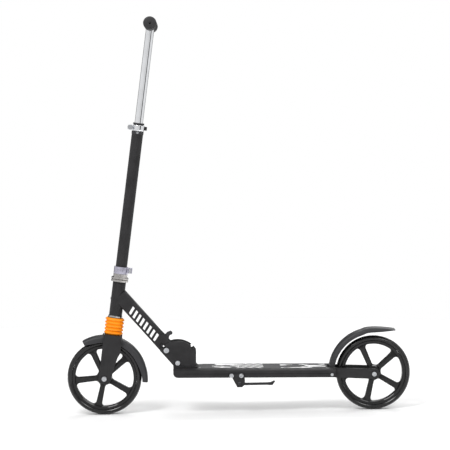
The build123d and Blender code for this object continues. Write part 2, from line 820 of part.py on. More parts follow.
pocket_half = 9.3
pocket_start = latch_seat - latch_radius - 1.5
pocket_end = foot_length - 0.5
pin_rest = latch_seat + latch_travel
foot_outline = [
    (0, -foot_end_radius),
    (foot_length, -neck_below),
    (foot_length, neck_above),
    (foot_length * 0.53, neck_above),
    (0, foot_end_radius),
]
stop_sweep = radians(40)
with BuildPart() as neck_foot:
    slab(neck_side, foot_outline, neck_half_width, -neck_half_width)
    disc(
        Plane(origin=pivot, x_dir=(1, 0, 0), z_dir=(0, 1, 0)),
        foot_end_radius,
        -neck_half_width,
        neck_half_width,
    )
    top_edges = neck_foot.edges().filter_by(Axis.Y, reverse=True)
    top_edges = [
        edge for edge in top_edges
        if neck_side.to_local_coords(edge.center()).Y > neck_above - 0.1
        and abs(edge.center().Y) > neck_half_width - 0.1
    ]
    chamfer(top_edges, 5.0)
    pivot_axis = cross_axis(pivot_x, pivot_z)
    disc(
        pivot_axis, bush_radius, -neck_half_width, neck_half_width, mode=Mode.SUBTRACT
    )
    # Open channel that takes the stop bolt and lets the neck swing off it.
    disc(
        Plane(origin=point_on(neck_side, stop_reach, 0), x_dir=(1, 0, 0), z_dir=(0, 1, 0)),
        stop_radius + side_gap,
        -neck_half_width,
        neck_half_width,
        mode=Mode.SUBTRACT,
    )
    sector(
        neck_side,
        stop_reach + stop_radius + side_gap,
        stop_reach - stop_radius - side_gap,
        -stop_sweep,
        0.0,
        neck_half_width,
        -neck_half_width,
        mode=Mode.SUBTRACT,
    )
    slab(
        neck_side,
        [
            (pocket_start, -6.5),
            (pocket_end, -6.5),
            (pocket_end, neck_above + 1),
            (pocket_start, neck_above + 1),
        ],
        pocket_half,
        -pocket_half,
        mode=Mode.SUBTRACT,
    )
    slot_half = latch_radius + latch_slack
    with BuildSketch(neck_side.offset(-neck_half_width)) as slot:
        with Locations((latch_seat + latch_travel / 2, 0)):
            SlotCenterToCenter(latch_travel, 2 * slot_half)
    extrude(slot.sketch, amount=2 * neck_half_width, mode=Mode.SUBTRACT)
finish(neck_foot, "neck_foot")

with BuildPart() as pivot_bush:
    disc(
        pivot_axis,
        bush_radius,
        -neck_half_width,
        neck_half_width,
        pivot_bolt_radius + run_gap,
    )
finish(pivot_bush, "pivot_bush")

# -------------------------------------------------------------------- latch
trigger_half = pocket_half - side_gap
body_start = pin_rest - latch_radius - 1.0
body_end = body_start + 13.5
spring_centre = 3.0
with BuildPart() as release_trigger:
    slab(
        neck_side,
        [
            (body_start, -6.0),
            (body_end, -6.0),
            (body_end, 12.0),
            (body_end + 6.5, 12.0),
            (body_end + 6.5, neck_above - 4),
            (body_end + 5.0, neck_above + 3),
            (body_end + 5.6, neck_above + 9),
            (body_end + 2.0, neck_above + 18.6),
            (body_end - 5.0, neck_above + 19.2),
            (body_end - 6.6, neck_above + 15.6),
            (body_end - 4.6, neck_above + 9.0),
            (body_end - 8.0, neck_above + 2.5),
            (body_start, neck_above - 3),
        ],
        trigger_half,
        -trigger_half,
    )
    horn = release_trigger.edges().filter_by(Axis.Y).filter_by(
        lambda edge: neck_side.to_local_coords(edge.center()).Y > neck_above + 15
    )
    fillet(horn, 2.2)
    disc(
        Plane(origin=point_on(neck_side, pin_rest, 0), x_dir=(1, 0, 0), z_dir=(0, 1, 0)),
        latch_radius,
        -trigger_half,
        trigger_half,
        mode=Mode.SUBTRACT,
    )
finish(release_trigger, "release_trigger")

plate_inner = neck_half_width + side_gap
plate_outer = plate_inner + bracket_wall
with BuildPart() as latch_pin:
    disc(
        Plane(origin=point_on(neck_side, pin_rest, 0), x_dir=(1, 0, 0), z_dir=(0, 1, 0)),
        latch_radius,
        0.5 - plate_outer,
        plate_outer - 0.5,
    )
    chamfer(latch_pin.edges().filter_by(GeomType.CIRCLE), 0.6)
finish(latch_pin, "latch_pin")

latch_coil = Plane(
    origin=point_on(neck_side, 0, spring_centre), x_dir=(0, 1, 0), z_dir=neck_dir
)
with BuildPart() as latch_spring:
    coil(latch_coil, 4.0, 0.7, body_end + 1.0, pocket_end - body_end - 2.0, 4)
finish(latch_spring, "latch_spring")

# ------------------------------------------------------------ fold brackets
front_notch = neck_angle - deck_tilt
rear_notch = front_notch + fold_angle
fore, rise = cos(front_notch), sin(front_notch)
edge_start = (neck_below * rise, -neck_below * fore)
edge_run = (quadrant_radius**2 - neck_below**2) ** 0.5
edge_end = (edge_start[0] + edge_run * fore, edge_start[1] + edge_run * rise)
rear_rise = (quadrant_radius**2 - quadrant_rear**2) ** 0.5
flange_rear = quadrant_rear + 3.0
screw_columns = (-quadrant_rear + 9.0, nose_overhang - 26.0)

for side, side_name in ((1, "left"), (-1, "right")):
    y_high = plate_outer if side > 0 else -plate_inner
    with BuildPart() as quadrant:
        with BuildSketch(bracket_side.offset(-y_high)) as plate:
            with BuildLine():
                Line((nose_overhang, -pivot_over_deck), edge_start)
                Line(edge_start, edge_end)
                ThreePointArc(edge_end, (0, quadrant_radius), (-quadrant_rear, rear_rise))
                Line((-quadrant_rear, rear_rise), (-quadrant_rear, -pivot_over_deck))
                Line((-quadrant_rear, -pivot_over_deck), (nose_overhang, -pivot_over_deck))
            make_face()
            Circle(pivot_bolt_radius + run_gap, mode=Mode.SUBTRACT)
            with Locations((stop_reach * fore, stop_reach * rise)):
                Circle(stop_radius + run_gap, mode=Mode.SUBTRACT)
            for notch in (front_notch, rear_notch):
                with PolarLocations(latch_seat + 15, 1, degrees(notch)):
                    SlotCenterToCenter(30, 2 * slot_half, mode=Mode.SUBTRACT)
        extrude(plate.sketch, amount=bracket_wall)
        flange_low = plate_outer if side > 0 else -plate_outer - flange_width
        block(
            Plane(origin=pivot, x_dir=deck_fore, z_dir=deck_up),
            (-flange_rear, nose_overhang),
            (flange_low, flange_low + flange_width),
            (-pivot_over_deck, flange_height - pivot_over_deck),
        )
        block(
            Plane(origin=pivot, x_dir=deck_fore, z_dir=deck_up),
            (-flange_rear, -quadrant_rear + 1),
            (y_high - bracket_wall, y_high),
            (-pivot_over_deck, flange_height - pivot_over_deck),
        )
        for column_x in screw_columns:
            hole = Plane(
                origin=Plane(origin=pivot, x_dir=deck_fore, z_dir=deck_up).from_local_coords(
                    Vector(column_x, side * (plate_outer + flange_width / 2), 0)
                ),
                x_dir=deck_fore,
                z_dir=deck_up,
            )
            disc(hole, 2.55, -pivot_over_deck, 0, mode=Mode.SUBTRACT)
    finish(quadrant, f"quadrant_{side_name}")

with BuildPart() as bracket_screws:
    for side in (1, -1):
        for column_x in screw_columns:
            hole = Plane(
                origin=Plane(origin=pivot, x_dir=deck_fore, z_dir=deck_up).from_local_coords(
                    Vector(column_x, side * (plate_outer + flange_width / 2), 0)
                ),
                x_dir=deck_fore,
                z_dir=deck_up,
            )
            shelf = flange_height - pivot_over_deck
            disc(hole, 2.5, -pivot_over_deck - deck_wall, shelf)
            disc(hole, 4.4, shelf, shelf + 2.6)
            with BuildSketch(hole.offset(shelf + 2.6)) as drive:
                RegularPolygon(2.0, 6)
            extrude(drive.sketch, amount=-1.6, mode=Mode.SUBTRACT)
finish(bracket_screws, "bracket_screws")

with BuildPart() as fold_pivot_bolt:
    cross_bolt(pivot_axis, pivot_bolt_radius, plate_outer, plate_outer, 6.2, 4.5)
finish(fold_pivot_bolt, "fold_pivot_bolt")

stop_point = point_on(neck_side, stop_reach, 0)
with BuildPart() as fold_stop_bolt:
    cross_bolt(
        cross_axis(stop_point.X, stop_point.Z), stop_radius, plate_outer, plate_outer, 7.0, 4.5
    )
finish(fold_stop_bolt, "fold_stop_bolt")

# --------------------------------------------------------------------- deck
half_width = deck_width / 2
shoulder = half_width - deck_bevel_width
section_points = [
    (-shoulder, 0),
    (shoulder, 0),
    (half_width, -deck_bevel_height),
    (half_width, -deck_height + 3),
    (half_width - 3, -deck_height),
    (-half_width + 3, -deck_height),
    (-half_width, -deck_height + 3),
    (-half_width, -deck_bevel_height),
]
cavity_low = -deck_height + deck_wall
cavity_side = half_width - deck_wall
groove_depth = 1.2
groove_height = 2.0
groove_centre = -13.2
slot_front = fender_pivot_gap + rear_x + 9.5
slot_half_width = arm_inner
fender_pivot_x = rear_x + fender_pivot_gap
fender_pivot_z = wheel_radius + fender_pivot_rise
fender_axis = cross_axis(fender_pivot_x, fender_pivot_z)


def deck_hole(x, y, radius, depth):
    """A hole down through the deck's skin."""
    spot = Plane(
        origin=deck.from_local_coords(Vector(x, y, 0)), x_dir=deck_fore, z_dir=deck_up
    )
    disc(spot, radius, -depth, 1, mode=Mode.SUBTRACT)


arm_screw_rows = (deck_rear + 24.0, deck_rear + 42.0)
arm_middle = (arm_inner + arm_outer) / 2
with BuildPart() as deck_board:
    with BuildSketch(deck_end.offset(deck_rear)) as section:
        with BuildLine():
            Polyline(*section_points, close=True)
        make_face()
        for side in (-1, 1):
            with BuildLine():
                Polyline(
                    (side * (deck_web_offset + deck_web / 2), -deck_wall),
                    (side * (shoulder - 1.5), -deck_wall),
                    (side * cavity_side, -deck_bevel_height - 2),
                    (side * cavity_side, cavity_low),
                    (side * (deck_web_offset + deck_web / 2), cavity_low),
                    close=True,
                )
            make_face(mode=Mode.SUBTRACT)
            with Locations((side * half_width, groove_centre)):
                Rectangle(2 * groove_depth, groove_height, mode=Mode.SUBTRACT)
        with Locations((0, (cavity_low - deck_wall) / 2)):
            Rectangle(
                2 * deck_web_offset - deck_web, -cavity_low - deck_wall, mode=Mode.SUBTRACT
            )
    extrude(amount=board_front - deck_rear)
    block(
        deck,
        (deck_rear - 1, slot_front),
        (-slot_half_width, slot_half_width),
        (-deck_height - 1, 1),
        mode=Mode.SUBTRACT,
    )
    disc(
        fender_axis, fender_bolt_radius + run_gap, -half_width, half_width,
        mode=Mode.SUBTRACT,
    )
    for side in (-1, 1):
        rear_screw = pivot_on_deck + screw_columns[0]
        deck_hole(rear_screw, side * (plate_outer + flange_width / 2), 2.5, deck_wall + 1)
        for row_x in arm_screw_rows:
            spot = Plane(
                origin=deck.from_local_coords(Vector(row_x, side * arm_middle, 0)),
                x_dir=deck_fore,
                z_dir=deck_up,
            )
            disc(spot, 2.05, -deck_height - 1, cavity_low + 1, mode=Mode.SUBTRACT)
    for screw_x in stand_screws:
        spot = deck.from_local_coords(Vector(screw_x, 0, -stand_screw_drop))
        disc(cross_axis(spot.X, spot.Z), 3.0, 40, half_width + 1, mode=Mode.SUBTRACT)
finish(deck_board, "deck_board")

nose_spigot = 14.0
with BuildPart() as nose_cap:
    with BuildSketch(deck_end.offset(board_front)) as outer:
        with BuildLine():
            Polyline(*section_points, close=True)
        make_face()
    extrude(amount=nose_front - board_front)
    front_face = nose_cap.faces().sort_by(Axis((0, 0, 0), deck_fore))[-1]
    front_edges = front_face.edges().sort_by(Axis.Z)
    fillet(front_edges[0], 13.0)
    front_face = nose_cap.faces().filter_by(GeomType.PLANE).sort_by(
        Axis((0, 0, 0), deck_fore)
    )[-1]
    fillet(front_face.edges().sort_by(Axis.Z)[-1], 3.0)
    block(
        deck,
        (board_front - nose_spigot, board_front),
        (side_gap - deck_web_offset + deck_web / 2, deck_web_offset - deck_web / 2 - side_gap),
        (cavity_low + side_gap, -deck_wall - side_gap),
    )
    for side in (-1, 1):
        front_screw = pivot_on_deck + screw_columns[1]
        deck_hole(front_screw, side * (plate_outer + flange_width / 2), 2.5, deck_wall)
finish(nose_cap, "nose_cap")

tape_front = pivot_on_deck - flange_rear - 3.0
tape_rear = slot_front + 5.0
with BuildPart() as grip_tape:
    block(
        deck,
        (tape_rear, tape_front),
        (-tape_width / 2, tape_width / 2),
        (0, tape_thickness),
    )
    fillet(grip_tape.edges().filter_by(Axis((0, 0, 0), deck_up)), 6.0)
finish(grip_tape, "grip_tape")

# ---------------------------------------------------------------- rear arms
arm_top_front = 18.4
arm_low_front = -7.4
arm_top_rear = 14.6
arm_low_rear = -13.3
arm_shoulder = deck_rear_gap - side_gap
arm_side = Plane(origin=(rear_x, 0, wheel_radius), x_dir=(1, 0, 0), z_dir=(0, -1, 0))


def arm_height(local_x, height_on_deck):
    """Height over the rear axle of a line that is parallel to the deck."""
    row_x = rear_x + local_x
    return deck_rise + row_x * tan(deck_tilt) + height_on_deck


tongue_end = deck_rear_gap + arm_tongue
for side, side_name in ((1, "left"), (-1, "right")):
    y_high = arm_outer if side > 0 else -arm_inner
    y_low = y_high - (arm_outer - arm_inner)
    with BuildPart() as arm:
        slab(
            arm_side,
            [
                (0, arm_low_rear),
                (arm_shoulder, arm_low_front),
                (arm_shoulder, arm_height(arm_shoulder, cavity_low + side_gap)),
                (tongue_end, arm_height(tongue_end, cavity_low + side_gap)),
                (tongue_end, arm_height(tongue_end, -deck_wall - side_gap)),
                (arm_shoulder, arm_height(arm_shoulder, -deck_wall - side_gap)),
                (arm_shoulder, arm_top_front),
                (0, arm_top_rear - 0.8),
            ],
            y_high,
            y_low,
        )
        disc(cross_axis(rear_x, wheel_radius), arm_end_radius, y_low, y_high)
        disc(
            cross_axis(rear_x, wheel_radius), axle_radius + run_gap, y_low, y_high,
            mode=Mode.SUBTRACT,
        )
        disc(
            fender_axis, fender_bolt_radius + run_gap, y_low, y_high, mode=Mode.SUBTRACT
        )
        for row_x in arm_screw_rows:
            spot = Plane(
                origin=deck.from_local_coords(Vector(row_x, side * arm_middle, 0)),
                x_dir=deck_fore,
                z_dir=deck_up,
            )
            disc(spot, 2.0, cavity_low, cavity_low + 9, mode=Mode.SUBTRACT)
    finish(arm, f"rear_arm_{side_name}")

with BuildPart() as arm_screws:
    for side in (-1, 1):
        for row_x in arm_screw_rows:
            spot = Plane(
                origin=deck.from_local_coords(Vector(row_x, side * arm_middle, 0)),
                x_dir=deck_fore,
                z_dir=deck_up,
            )
            disc(spot, 2.0, -deck_height, cavity_low + 8)
            disc(spot, 3.8, -deck_height - 2.2, -deck_height)
finish(arm_screws, "arm_screws")

# --------------------------------------------------------------- foot brake
barrel_radius = 7.0
barrel_half = arm_inner - 0.5
brake_coil_radius = 6.6
brake_coil_half = 7.0
with BuildPart() as fender_pivot_bolt:
    cross_bolt(fender_axis, fender_bolt_radius, half_width, half_width, 3.8, 2.0)
    for side in (-1, 1):
        disc(
            fender_axis,
            fender_bolt_radius + 1,
            side * (arm_outer + 0.1),
            side * (cavity_side - 0.1),
            fender_bolt_radius + run_gap,
        )
finish(fender_pivot_bolt, "fender_pivot_bolt")

fender_side = arm_side
base_x = fender_pivot_gap
base_z = fender_pivot_rise
fender_start = radians(11.5)
fender_turn = radians(76.0)
fender_inner = fender_radius - 14.5
tip_point = (-60.8, wheel_radius + 17.2)
outer_turn = (fender_radius * cos(fender_turn), fender_radius * sin(fender_turn))
inner_turn_angle = radians(83.0)
inner_turn = (
    fender_inner * cos(inner_turn_angle),
    fender_inner * sin(inner_turn_angle),
)
outer_start = (fender_radius * cos(fender_start), fender_radius * sin(fender_start))
inner_start = (fender_inner * cos(fender_start), fender_inner * sin(fender_start))
skin_radius = fender_radius - fender_skin
arc_middle = radians(45)


def polar(radius, angle):
    """A point at a radius and an angle."""
    return (radius * cos(angle), radius * sin(angle))


with BuildPart() as rear_fender:
    with BuildSketch(fender_side.offset(-fender_half_width)) as fender_shape:
        with BuildLine():
            outer_arc = ThreePointArc(
                outer_start, polar(fender_radius, arc_middle), outer_turn
            )
            sweep_line = TangentArc(
                outer_turn, (-6.8, fender_radius + 2.0), tangent=outer_arc % 1
            )
            Spline(
                (-6.8, fender_radius + 2.0), tip_point, tangents=(sweep_line % 1, (-1, -0.16))
            )
            Line(tip_point, (tip_point[0] + 5.0, tip_point[1] - 4.6))
            Spline(
                (tip_point[0] + 5.0, tip_point[1] - 4.6),
                inner_turn,
                tangents=((1, -0.02), polar(1, inner_turn_angle - radians(90))),
            )
            ThreePointArc(inner_turn, polar(fender_inner, arc_middle), inner_start)
            Line(inner_start, (base_x - barrel_radius, base_z))
            Line((base_x - barrel_radius, base_z), (base_x + barrel_radius - 0.6, base_z))
            Line((base_x + barrel_radius - 0.6, base_z), outer_start)
        make_face()
    extrude(amount=2 * fender_half_width)
    # Hollow underside: the skirts stay, the channel clears the tyre.
    inner_half = fender_half_width - 2.5
    with BuildSketch(fender_side.offset(-inner_half)) as channel:
        with BuildLine():
            channel_arc = ThreePointArc(
                polar(skin_radius, radians(17)),
                polar(skin_radius, arc_middle),
                polar(skin_radius, fender_turn),
            )
            Spline(
                polar(skin_radius, fender_turn),
                (-6.8, skin_radius + 1.9),
                (tip_point[0] + 4, tip_point[1] - 3.2),
                tangents=(channel_arc % 1, (-1, -0.16)),
            )
            Line(
                (tip_point[0] + 4, tip_point[1] - 3.2), (tip_point[0] + 4, wheel_radius - 4)
            )
            Line((tip_point[0] + 4, wheel_radius - 4), (0, wheel_radius - 10))
            Line((0, wheel_radius - 10), polar(wheel_radius - 8, radians(17)))
            Line(polar(wheel_radius - 8, radians(17)), polar(skin_radius, radians(17)))
        make_face()
    extrude(amount=2 * inner_half, mode=Mode.SUBTRACT)
    disc(fender_axis, barrel_radius, -barrel_half, barrel_half)
    disc(
        fender_axis, fender_bolt_radius + run_gap, -barrel_half, barrel_half,
        mode=Mode.SUBTRACT,
    )
    disc(
        fender_axis, brake_coil_radius + 2.4, -brake_coil_half - 2, brake_coil_half + 2,
        mode=Mode.SUBTRACT,
    )
finish(rear_fender, "rear_fender")

with BuildPart() as brake_pad:
    sector(
        fender_side, skin_radius, wheel_radius + pad_gap, pad_start, pad_end,
        pad_half_width, -pad_half_width,
    )
finish(brake_pad, "brake_pad")

with BuildPart() as brake_spring:
    coil(fender_axis, brake_coil_radius, 0.9, -brake_coil_half, 2 * brake_coil_half, 5)
finish(brake_spring, "brake_spring")

# ---------------------------------------------------------------- kickstand
stand_pin = deck.from_local_coords(Vector(stand_x, stand_y, -stand_drop))
stand_side = Plane(
    origin=stand_pin, x_dir=(1, 0, 0), z_dir=(0, -cos(stand_splay), -sin(stand_splay))
)
stand_axis = Plane(
    origin=stand_pin, x_dir=(1, 0, 0), z_dir=(0, cos(stand_splay), sin(stand_splay))
)
with BuildPart() as kickstand_bracket:
    slab(
        deck_side,
        [
            (27, -11.5), (28, -18), (19, -deck_height), (6, -48.5), (-7, -48.5),
            (-15, -41), (-14, -deck_height), (-11, -11.5),
        ],
        half_width + stand_plate,
        half_width,
    )
    slab(
        deck_side,
        [
            (19, -deck_height), (6, -48.5), (-7, -48.5), (-15, -41),
            (-14, -deck_height),
        ],
        half_width + stand_plate,
        stand_y - stand_hub / 2 - stand_cheek,
    )
    slab(
        stand_side,
        [(stand_hub_radius + 1.5, -20), (stand_hub_radius + 1.5, stand_hub_radius + 1.5),
         (-30, stand_hub_radius + 1.5), (-30, -20)],
        stand_hub / 2 + side_gap,
        -stand_hub / 2 - side_gap,
        mode=Mode.SUBTRACT,
    )
    disc(stand_axis, stand_pin_radius, -40, 40, mode=Mode.SUBTRACT)
    for screw_x in stand_screws:
        spot = deck.from_local_coords(Vector(screw_x, 0, -stand_screw_drop))
        disc(cross_axis(spot.X, spot.Z), 3.0, half_width, 80, mode=Mode.SUBTRACT)
finish(kickstand_bracket, "kickstand_bracket")

pin_out = stand_hub / 2 + stand_cheek + 3.5
pin_in = -stand_hub / 2 - stand_cheek - 9.5
with BuildPart() as kickstand_bolts:
    disc(stand_axis, stand_pin_radius, pin_in, pin_out)
    disc(stand_axis, stand_pin_radius + 2, pin_out, pin_out + 2.0)
    disc(stand_axis, stand_pin_radius + 2.5, pin_in - 1.5, pin_in)
    for screw_x in stand_screws:
        spot = deck.from_local_coords(Vector(screw_x, 0, -stand_screw_drop))
        face = cross_axis(spot.X, spot.Z)
        outer_face = half_width + stand_plate
        disc(face, 3.0, half_width - 8, outer_face)
        disc(face, 5.8, outer_face, outer_face + 4.0)
        with BuildSketch(face.offset(outer_face + 4.0)) as drive:
            RegularPolygon(2.9, 6)
        extrude(drive.sketch, amount=-2.5, mode=Mode.SUBTRACT)
finish(kickstand_bolts, "kickstand_bolts")

with BuildPart() as kickstand_leg:
    disc(stand_axis, stand_hub_radius, -stand_hub / 2, stand_hub / 2)
    leg_axis = Plane(origin=stand_pin, x_dir=stand_axis.z_dir, z_dir=(-1, 0, 0))
    disc(leg_axis, stand_leg_radius, stand_hub_radius * 0.6, stand_length - 10)
    slab(
        stand_side,
        [
            (12 - stand_length, -stand_leg_radius),
            (12 - stand_length, stand_leg_radius),
            (6 - stand_length, stand_leg_radius),
            (-5 - stand_length, stand_leg_radius + 4.5),
            (-7.5 - stand_length, stand_leg_radius + 1.5),
            (-stand_length, -stand_leg_radius - 1.0),
        ],
        stand_foot / 2,
        -stand_foot / 2,
    )
    disc(
        stand_axis,
        stand_pin_radius + run_gap,
        -stand_hub,
        stand_hub,
        mode=Mode.SUBTRACT,
    )
finish(kickstand_leg, "kickstand_leg")

with BuildPart() as kickstand_spring:
    coil(stand_axis, stand_pin_radius + 1.6, 0.8, pin_in + 1.2, 6.6, 4)
finish(kickstand_spring, "kickstand_spring")
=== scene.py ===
"""Looks for a folding kick scooter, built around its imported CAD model."""

import json

from math import asin, cos, pi, radians, sin, sqrt

import bmesh
import bpy
from bpy.props import (
    FloatProperty,
    FloatVectorProperty,
    IntProperty,
    PointerProperty,
)
from mathutils import Matrix, Vector


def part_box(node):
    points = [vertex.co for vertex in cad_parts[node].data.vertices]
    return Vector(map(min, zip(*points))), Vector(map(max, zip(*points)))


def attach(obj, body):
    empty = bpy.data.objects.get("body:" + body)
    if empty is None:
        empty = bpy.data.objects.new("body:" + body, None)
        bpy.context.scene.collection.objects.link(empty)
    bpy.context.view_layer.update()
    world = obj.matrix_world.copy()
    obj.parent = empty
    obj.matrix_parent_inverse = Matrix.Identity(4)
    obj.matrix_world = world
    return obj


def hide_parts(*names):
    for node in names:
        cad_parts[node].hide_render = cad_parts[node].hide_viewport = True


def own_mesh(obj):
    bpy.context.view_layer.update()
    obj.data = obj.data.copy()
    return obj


bl_info = {
    "name": "Kick Scooter",
    "version": (1, 0, 0),
    "blender": (4, 5, 0),
    "location": "3D View > Sidebar > Scooter",
    "description": "Builds the finished pieces of a folding kick scooter",
    "category": "Add Mesh",
}

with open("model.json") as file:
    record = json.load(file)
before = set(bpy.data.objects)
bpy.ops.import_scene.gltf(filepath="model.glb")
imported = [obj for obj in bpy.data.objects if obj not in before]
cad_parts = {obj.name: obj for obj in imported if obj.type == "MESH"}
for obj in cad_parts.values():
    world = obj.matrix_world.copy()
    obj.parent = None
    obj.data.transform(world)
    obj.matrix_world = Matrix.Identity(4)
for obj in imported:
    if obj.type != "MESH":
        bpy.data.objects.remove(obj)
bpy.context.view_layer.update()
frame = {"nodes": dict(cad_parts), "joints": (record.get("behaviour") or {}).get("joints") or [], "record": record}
NODES = frame["nodes"]
JOINTS = {joint["name"]: joint for joint in frame["joints"]}
SLOTS = {row["node"]: row["material_slot"] for row in frame["record"]["subparts"]}

# The steering axis, as a frame whose X points forward and whose Z runs up it.
AXIS = Vector(JOINTS["steering_turn"]["axis"]).normalized()
AXIS_FORE = Vector((AXIS.z, 0, -AXIS.x))
HEAD = Vector(JOINTS["steering_turn"]["pos_m"])
AXIS_FOOT = HEAD - AXIS * (HEAD.z / AXIS.z)
FRONT_HUB = Vector(JOINTS["front_wheel_spin"]["pos_m"])
REAR_HUB = Vector(JOINTS["rear_wheel_spin"]["pos_m"])
FOLD = Vector(JOINTS["fold"]["pos_m"])
NECK = -Vector(JOINTS["latch_slide"]["axis"]).normalized()
NECK_UP = Vector((-NECK.z, 0, NECK.x))
BRAKE_PIVOT = Vector(JOINTS["brake"]["pos_m"])
LEFT = Vector((0, 1, 0))

MM = 0.001


def along(node, axis, foot):
    """Lowest and highest station of a CAD node along an axis, and its radius."""
    stations, radius = [], 0.0
    for vertex in NODES[node].data.vertices:
        offset = vertex.co - foot
        station = offset.dot(axis)
        stations.append(station)
        radius = max(radius, (offset - axis * station).length)
    return min(stations), max(stations), radius


# ----------------------------------------------------------------- settings
def length_setting(name, description, default, low, high):
    """A length that a user can set, in metres."""
    return FloatProperty(
        name=name, description=description, default=default, min=low, max=high, unit="LENGTH"
    )


def count_setting(name, description, default, low, high):
    """A number of like things that a user can set."""
    return IntProperty(name=name, description=description, default=default, min=low, max=high)


def colour_setting(name, description, default):
    """A colour that a user can set."""
    return FloatVectorProperty(
        name=name, description=description, default=default, subtype="COLOR", size=3
    )


class ScooterSizes(bpy.types.PropertyGroup):
    """Sizes a maker would change."""

    edge_softness: length_setting(
        "Edge softness", "Width of the rounding on castings and clamps", 0.0006, 0.0001, 0.002
    )
    gaiter_folds: count_setting("Gaiter folds", "Number of folds in the fork's gaiter", 5, 3, 9)
    gaiter_depth: length_setting(
        "Gaiter fold depth", "Height of a fold over the valley beside it", 0.0038, 0.001, 0.006
    )
    spoke_count: count_setting("Spokes", "Spokes in each wheel", 5, 3, 9)
    spoke_hub_width: length_setting(
        "Spoke width at the hub", "Width of a spoke where it leaves the hub", 0.0137, 0.008, 0.02
    )
    spoke_rim_width: length_setting(
        "Spoke width at the rim", "Width of a spoke where it meets the rim", 0.0166, 0.008, 0.03
    )
    spoke_flare: length_setting(
        "Spoke flare", "Fillet radius between a spoke and the rim", 0.010, 0.002, 0.02
    )
    grip_columns: count_setting("Grip pads around", "Raised pads round a grip", 22, 8, 40)
    grip_rows: count_setting("Grip pads along", "Rings of raised pads along a grip", 15, 4, 30)
    decal_bars: count_setting(
        "Neck bars", "Slanted bars in the plain marking on the neck", 8, 2, 12
    )


class ScooterColours(bpy.types.PropertyGroup):
    """Colours a maker would change."""

    paint: colour_setting("Frame paint", "Matt black powder coat", (0.018, 0.0175, 0.0185))
    wheel: colour_setting(
        "Wheel", "Gloss moulding of the wheel cores", (0.007, 0.0068, 0.0072)
    )
    tyre: colour_setting("Tyre", "Cast tyre", (0.010, 0.0098, 0.0102))
    gaiter: colour_setting("Gaiter", "Bright moulded rubber", (0.95, 0.27, 0.001))
    chrome: colour_setting("Chrome", "Polished plate", (0.80, 0.81, 0.83))
    collar: colour_setting("Clamp collar", "Satin anodised alloy", (0.40, 0.39, 0.47))
    marking: colour_setting(
        "Markings", "Plain printed shapes on the deck and neck", (0.86, 0.86, 0.86)
    )


# ----------------------------------------------------------------- materials
# A Mix node's sockets for colours: its factor, its two colours and its result.
MIX_FACTOR, MIX_FIRST, MIX_SECOND, MIX_RESULT = 0, 6, 7, 2


class Finish:
    """A material's node tree, with the few joins that the finishes share."""

    def __init__(self, name, metallic=0.0, specular=0.5, coat=0.0, coat_rough=0.1):
        self.material = bpy.data.materials.new(name)
        self.material.use_nodes = True
        self.tree = self.material.node_tree
        self.nodes = self.tree.nodes
        self.shader = self.nodes["Principled BSDF"]
        self.shader.inputs["Metallic"].default_value = metallic
        self.shader.inputs["Specular IOR Level"].default_value = specular
        self.shader.inputs["Coat Weight"].default_value = coat
        self.shader.inputs["Coat Roughness"].default_value = coat_rough
        self.place = self.nodes.new("ShaderNodeTexCoord").outputs["Object"]

    def link(self, source, target):
        """Join an output to an input."""
        self.tree.links.new(source, target)

    def stretched(self, scale, turn=0.0):
        """Object coordinates, scaled along axes that are turned about Y."""
        mapping = self.nodes.new("ShaderNodeMapping")
        mapping.vector_type = "TEXTURE"
        mapping.inputs["Scale"].default_value = tuple(1 / share for share in scale)
        mapping.inputs["Rotation"].default_value = (0.0, turn, 0.0)
        self.link(self.place, mapping.inputs["Vector"])
        return mapping.outputs["Vector"]

    def noise(self, scale, detail=3.0, place=None, rough=0.55):
        """Smooth noise from 0 to 1."""
        node = self.nodes.new("ShaderNodeTexNoise")
        node.inputs["Scale"].default_value = scale
        node.inputs["Detail"].default_value = detail
        node.inputs["Roughness"].default_value = rough
        self.link(place or self.place, node.inputs["Vector"])
        return node.outputs["Fac"]

    def cells(self, scale, place=None):
        """Distance to the nearest of many scattered grains."""
        node = self.nodes.new("ShaderNodeTexVoronoi")
        node.inputs["Scale"].default_value = scale
        self.link(place or self.place, node.inputs["Vector"])
        return node.outputs["Distance"]

    def span(self, value, low, high, start=0.3, end=0.7):
        """A value carried from one range to another."""
        node = self.nodes.new("ShaderNodeMapRange")
        node.inputs["From Min"].default_value = start
        node.inputs["From Max"].default_value = end
        node.inputs["To Min"].default_value = low
        node.inputs["To Max"].default_value = high
        self.link(value, node.inputs["Value"])
        return node.outputs["Result"]

    def math(self, kind, first, second=0.5):
        """One sum on two values, either of which may be a number."""
        node = self.nodes.new("ShaderNodeMath")
        node.operation = kind
        for socket, value in zip(node.inputs, (first, second)):
            if isinstance(value, (int, float)):
                socket.default_value = value
            else:
                self.link(value, socket)
        return node.outputs["Value"]

    def mix(self, factor, first, second):
        """A colour between two others, each a triple or an output."""
        node = self.nodes.new("ShaderNodeMix")
        node.data_type = "RGBA"
        self.link(factor, node.inputs[MIX_FACTOR])
        for index, value in ((MIX_FIRST, first), (MIX_SECOND, second)):
            if isinstance(value, (tuple, list)):
                node.inputs[index].default_value = (*value, 1.0)
            else:
                self.link(value, node.inputs[index])
        return node.outputs[MIX_RESULT]

    def colour(self, output):
        """Set the surface's colour."""
        self.link(output, self.shader.inputs["Base Color"])

    def tint(self, pattern, dark, light, start=0.3, end=0.7):
        """Set the surface's colour between two others, from a pattern."""
        self.colour(self.mix(self.span(pattern, 0, 1, start, end), dark, light))

    def rough(self, value, low, high):
        """Set the surface's roughness from a pattern."""
        self.link(self.span(value, low, high), self.shader.inputs["Roughness"])

    def bump(self, height, depth, strength=0.5):
        """Set the surface's relief, with its depth in metres."""
        node = self.nodes.new("ShaderNodeBump")
        node.inputs["Strength"].default_value = strength
        node.inputs["Distance"].default_value = depth
        self.link(height, node.inputs["Height"])
        self.link(node.outputs["Normal"], self.shader.inputs["Normal"])


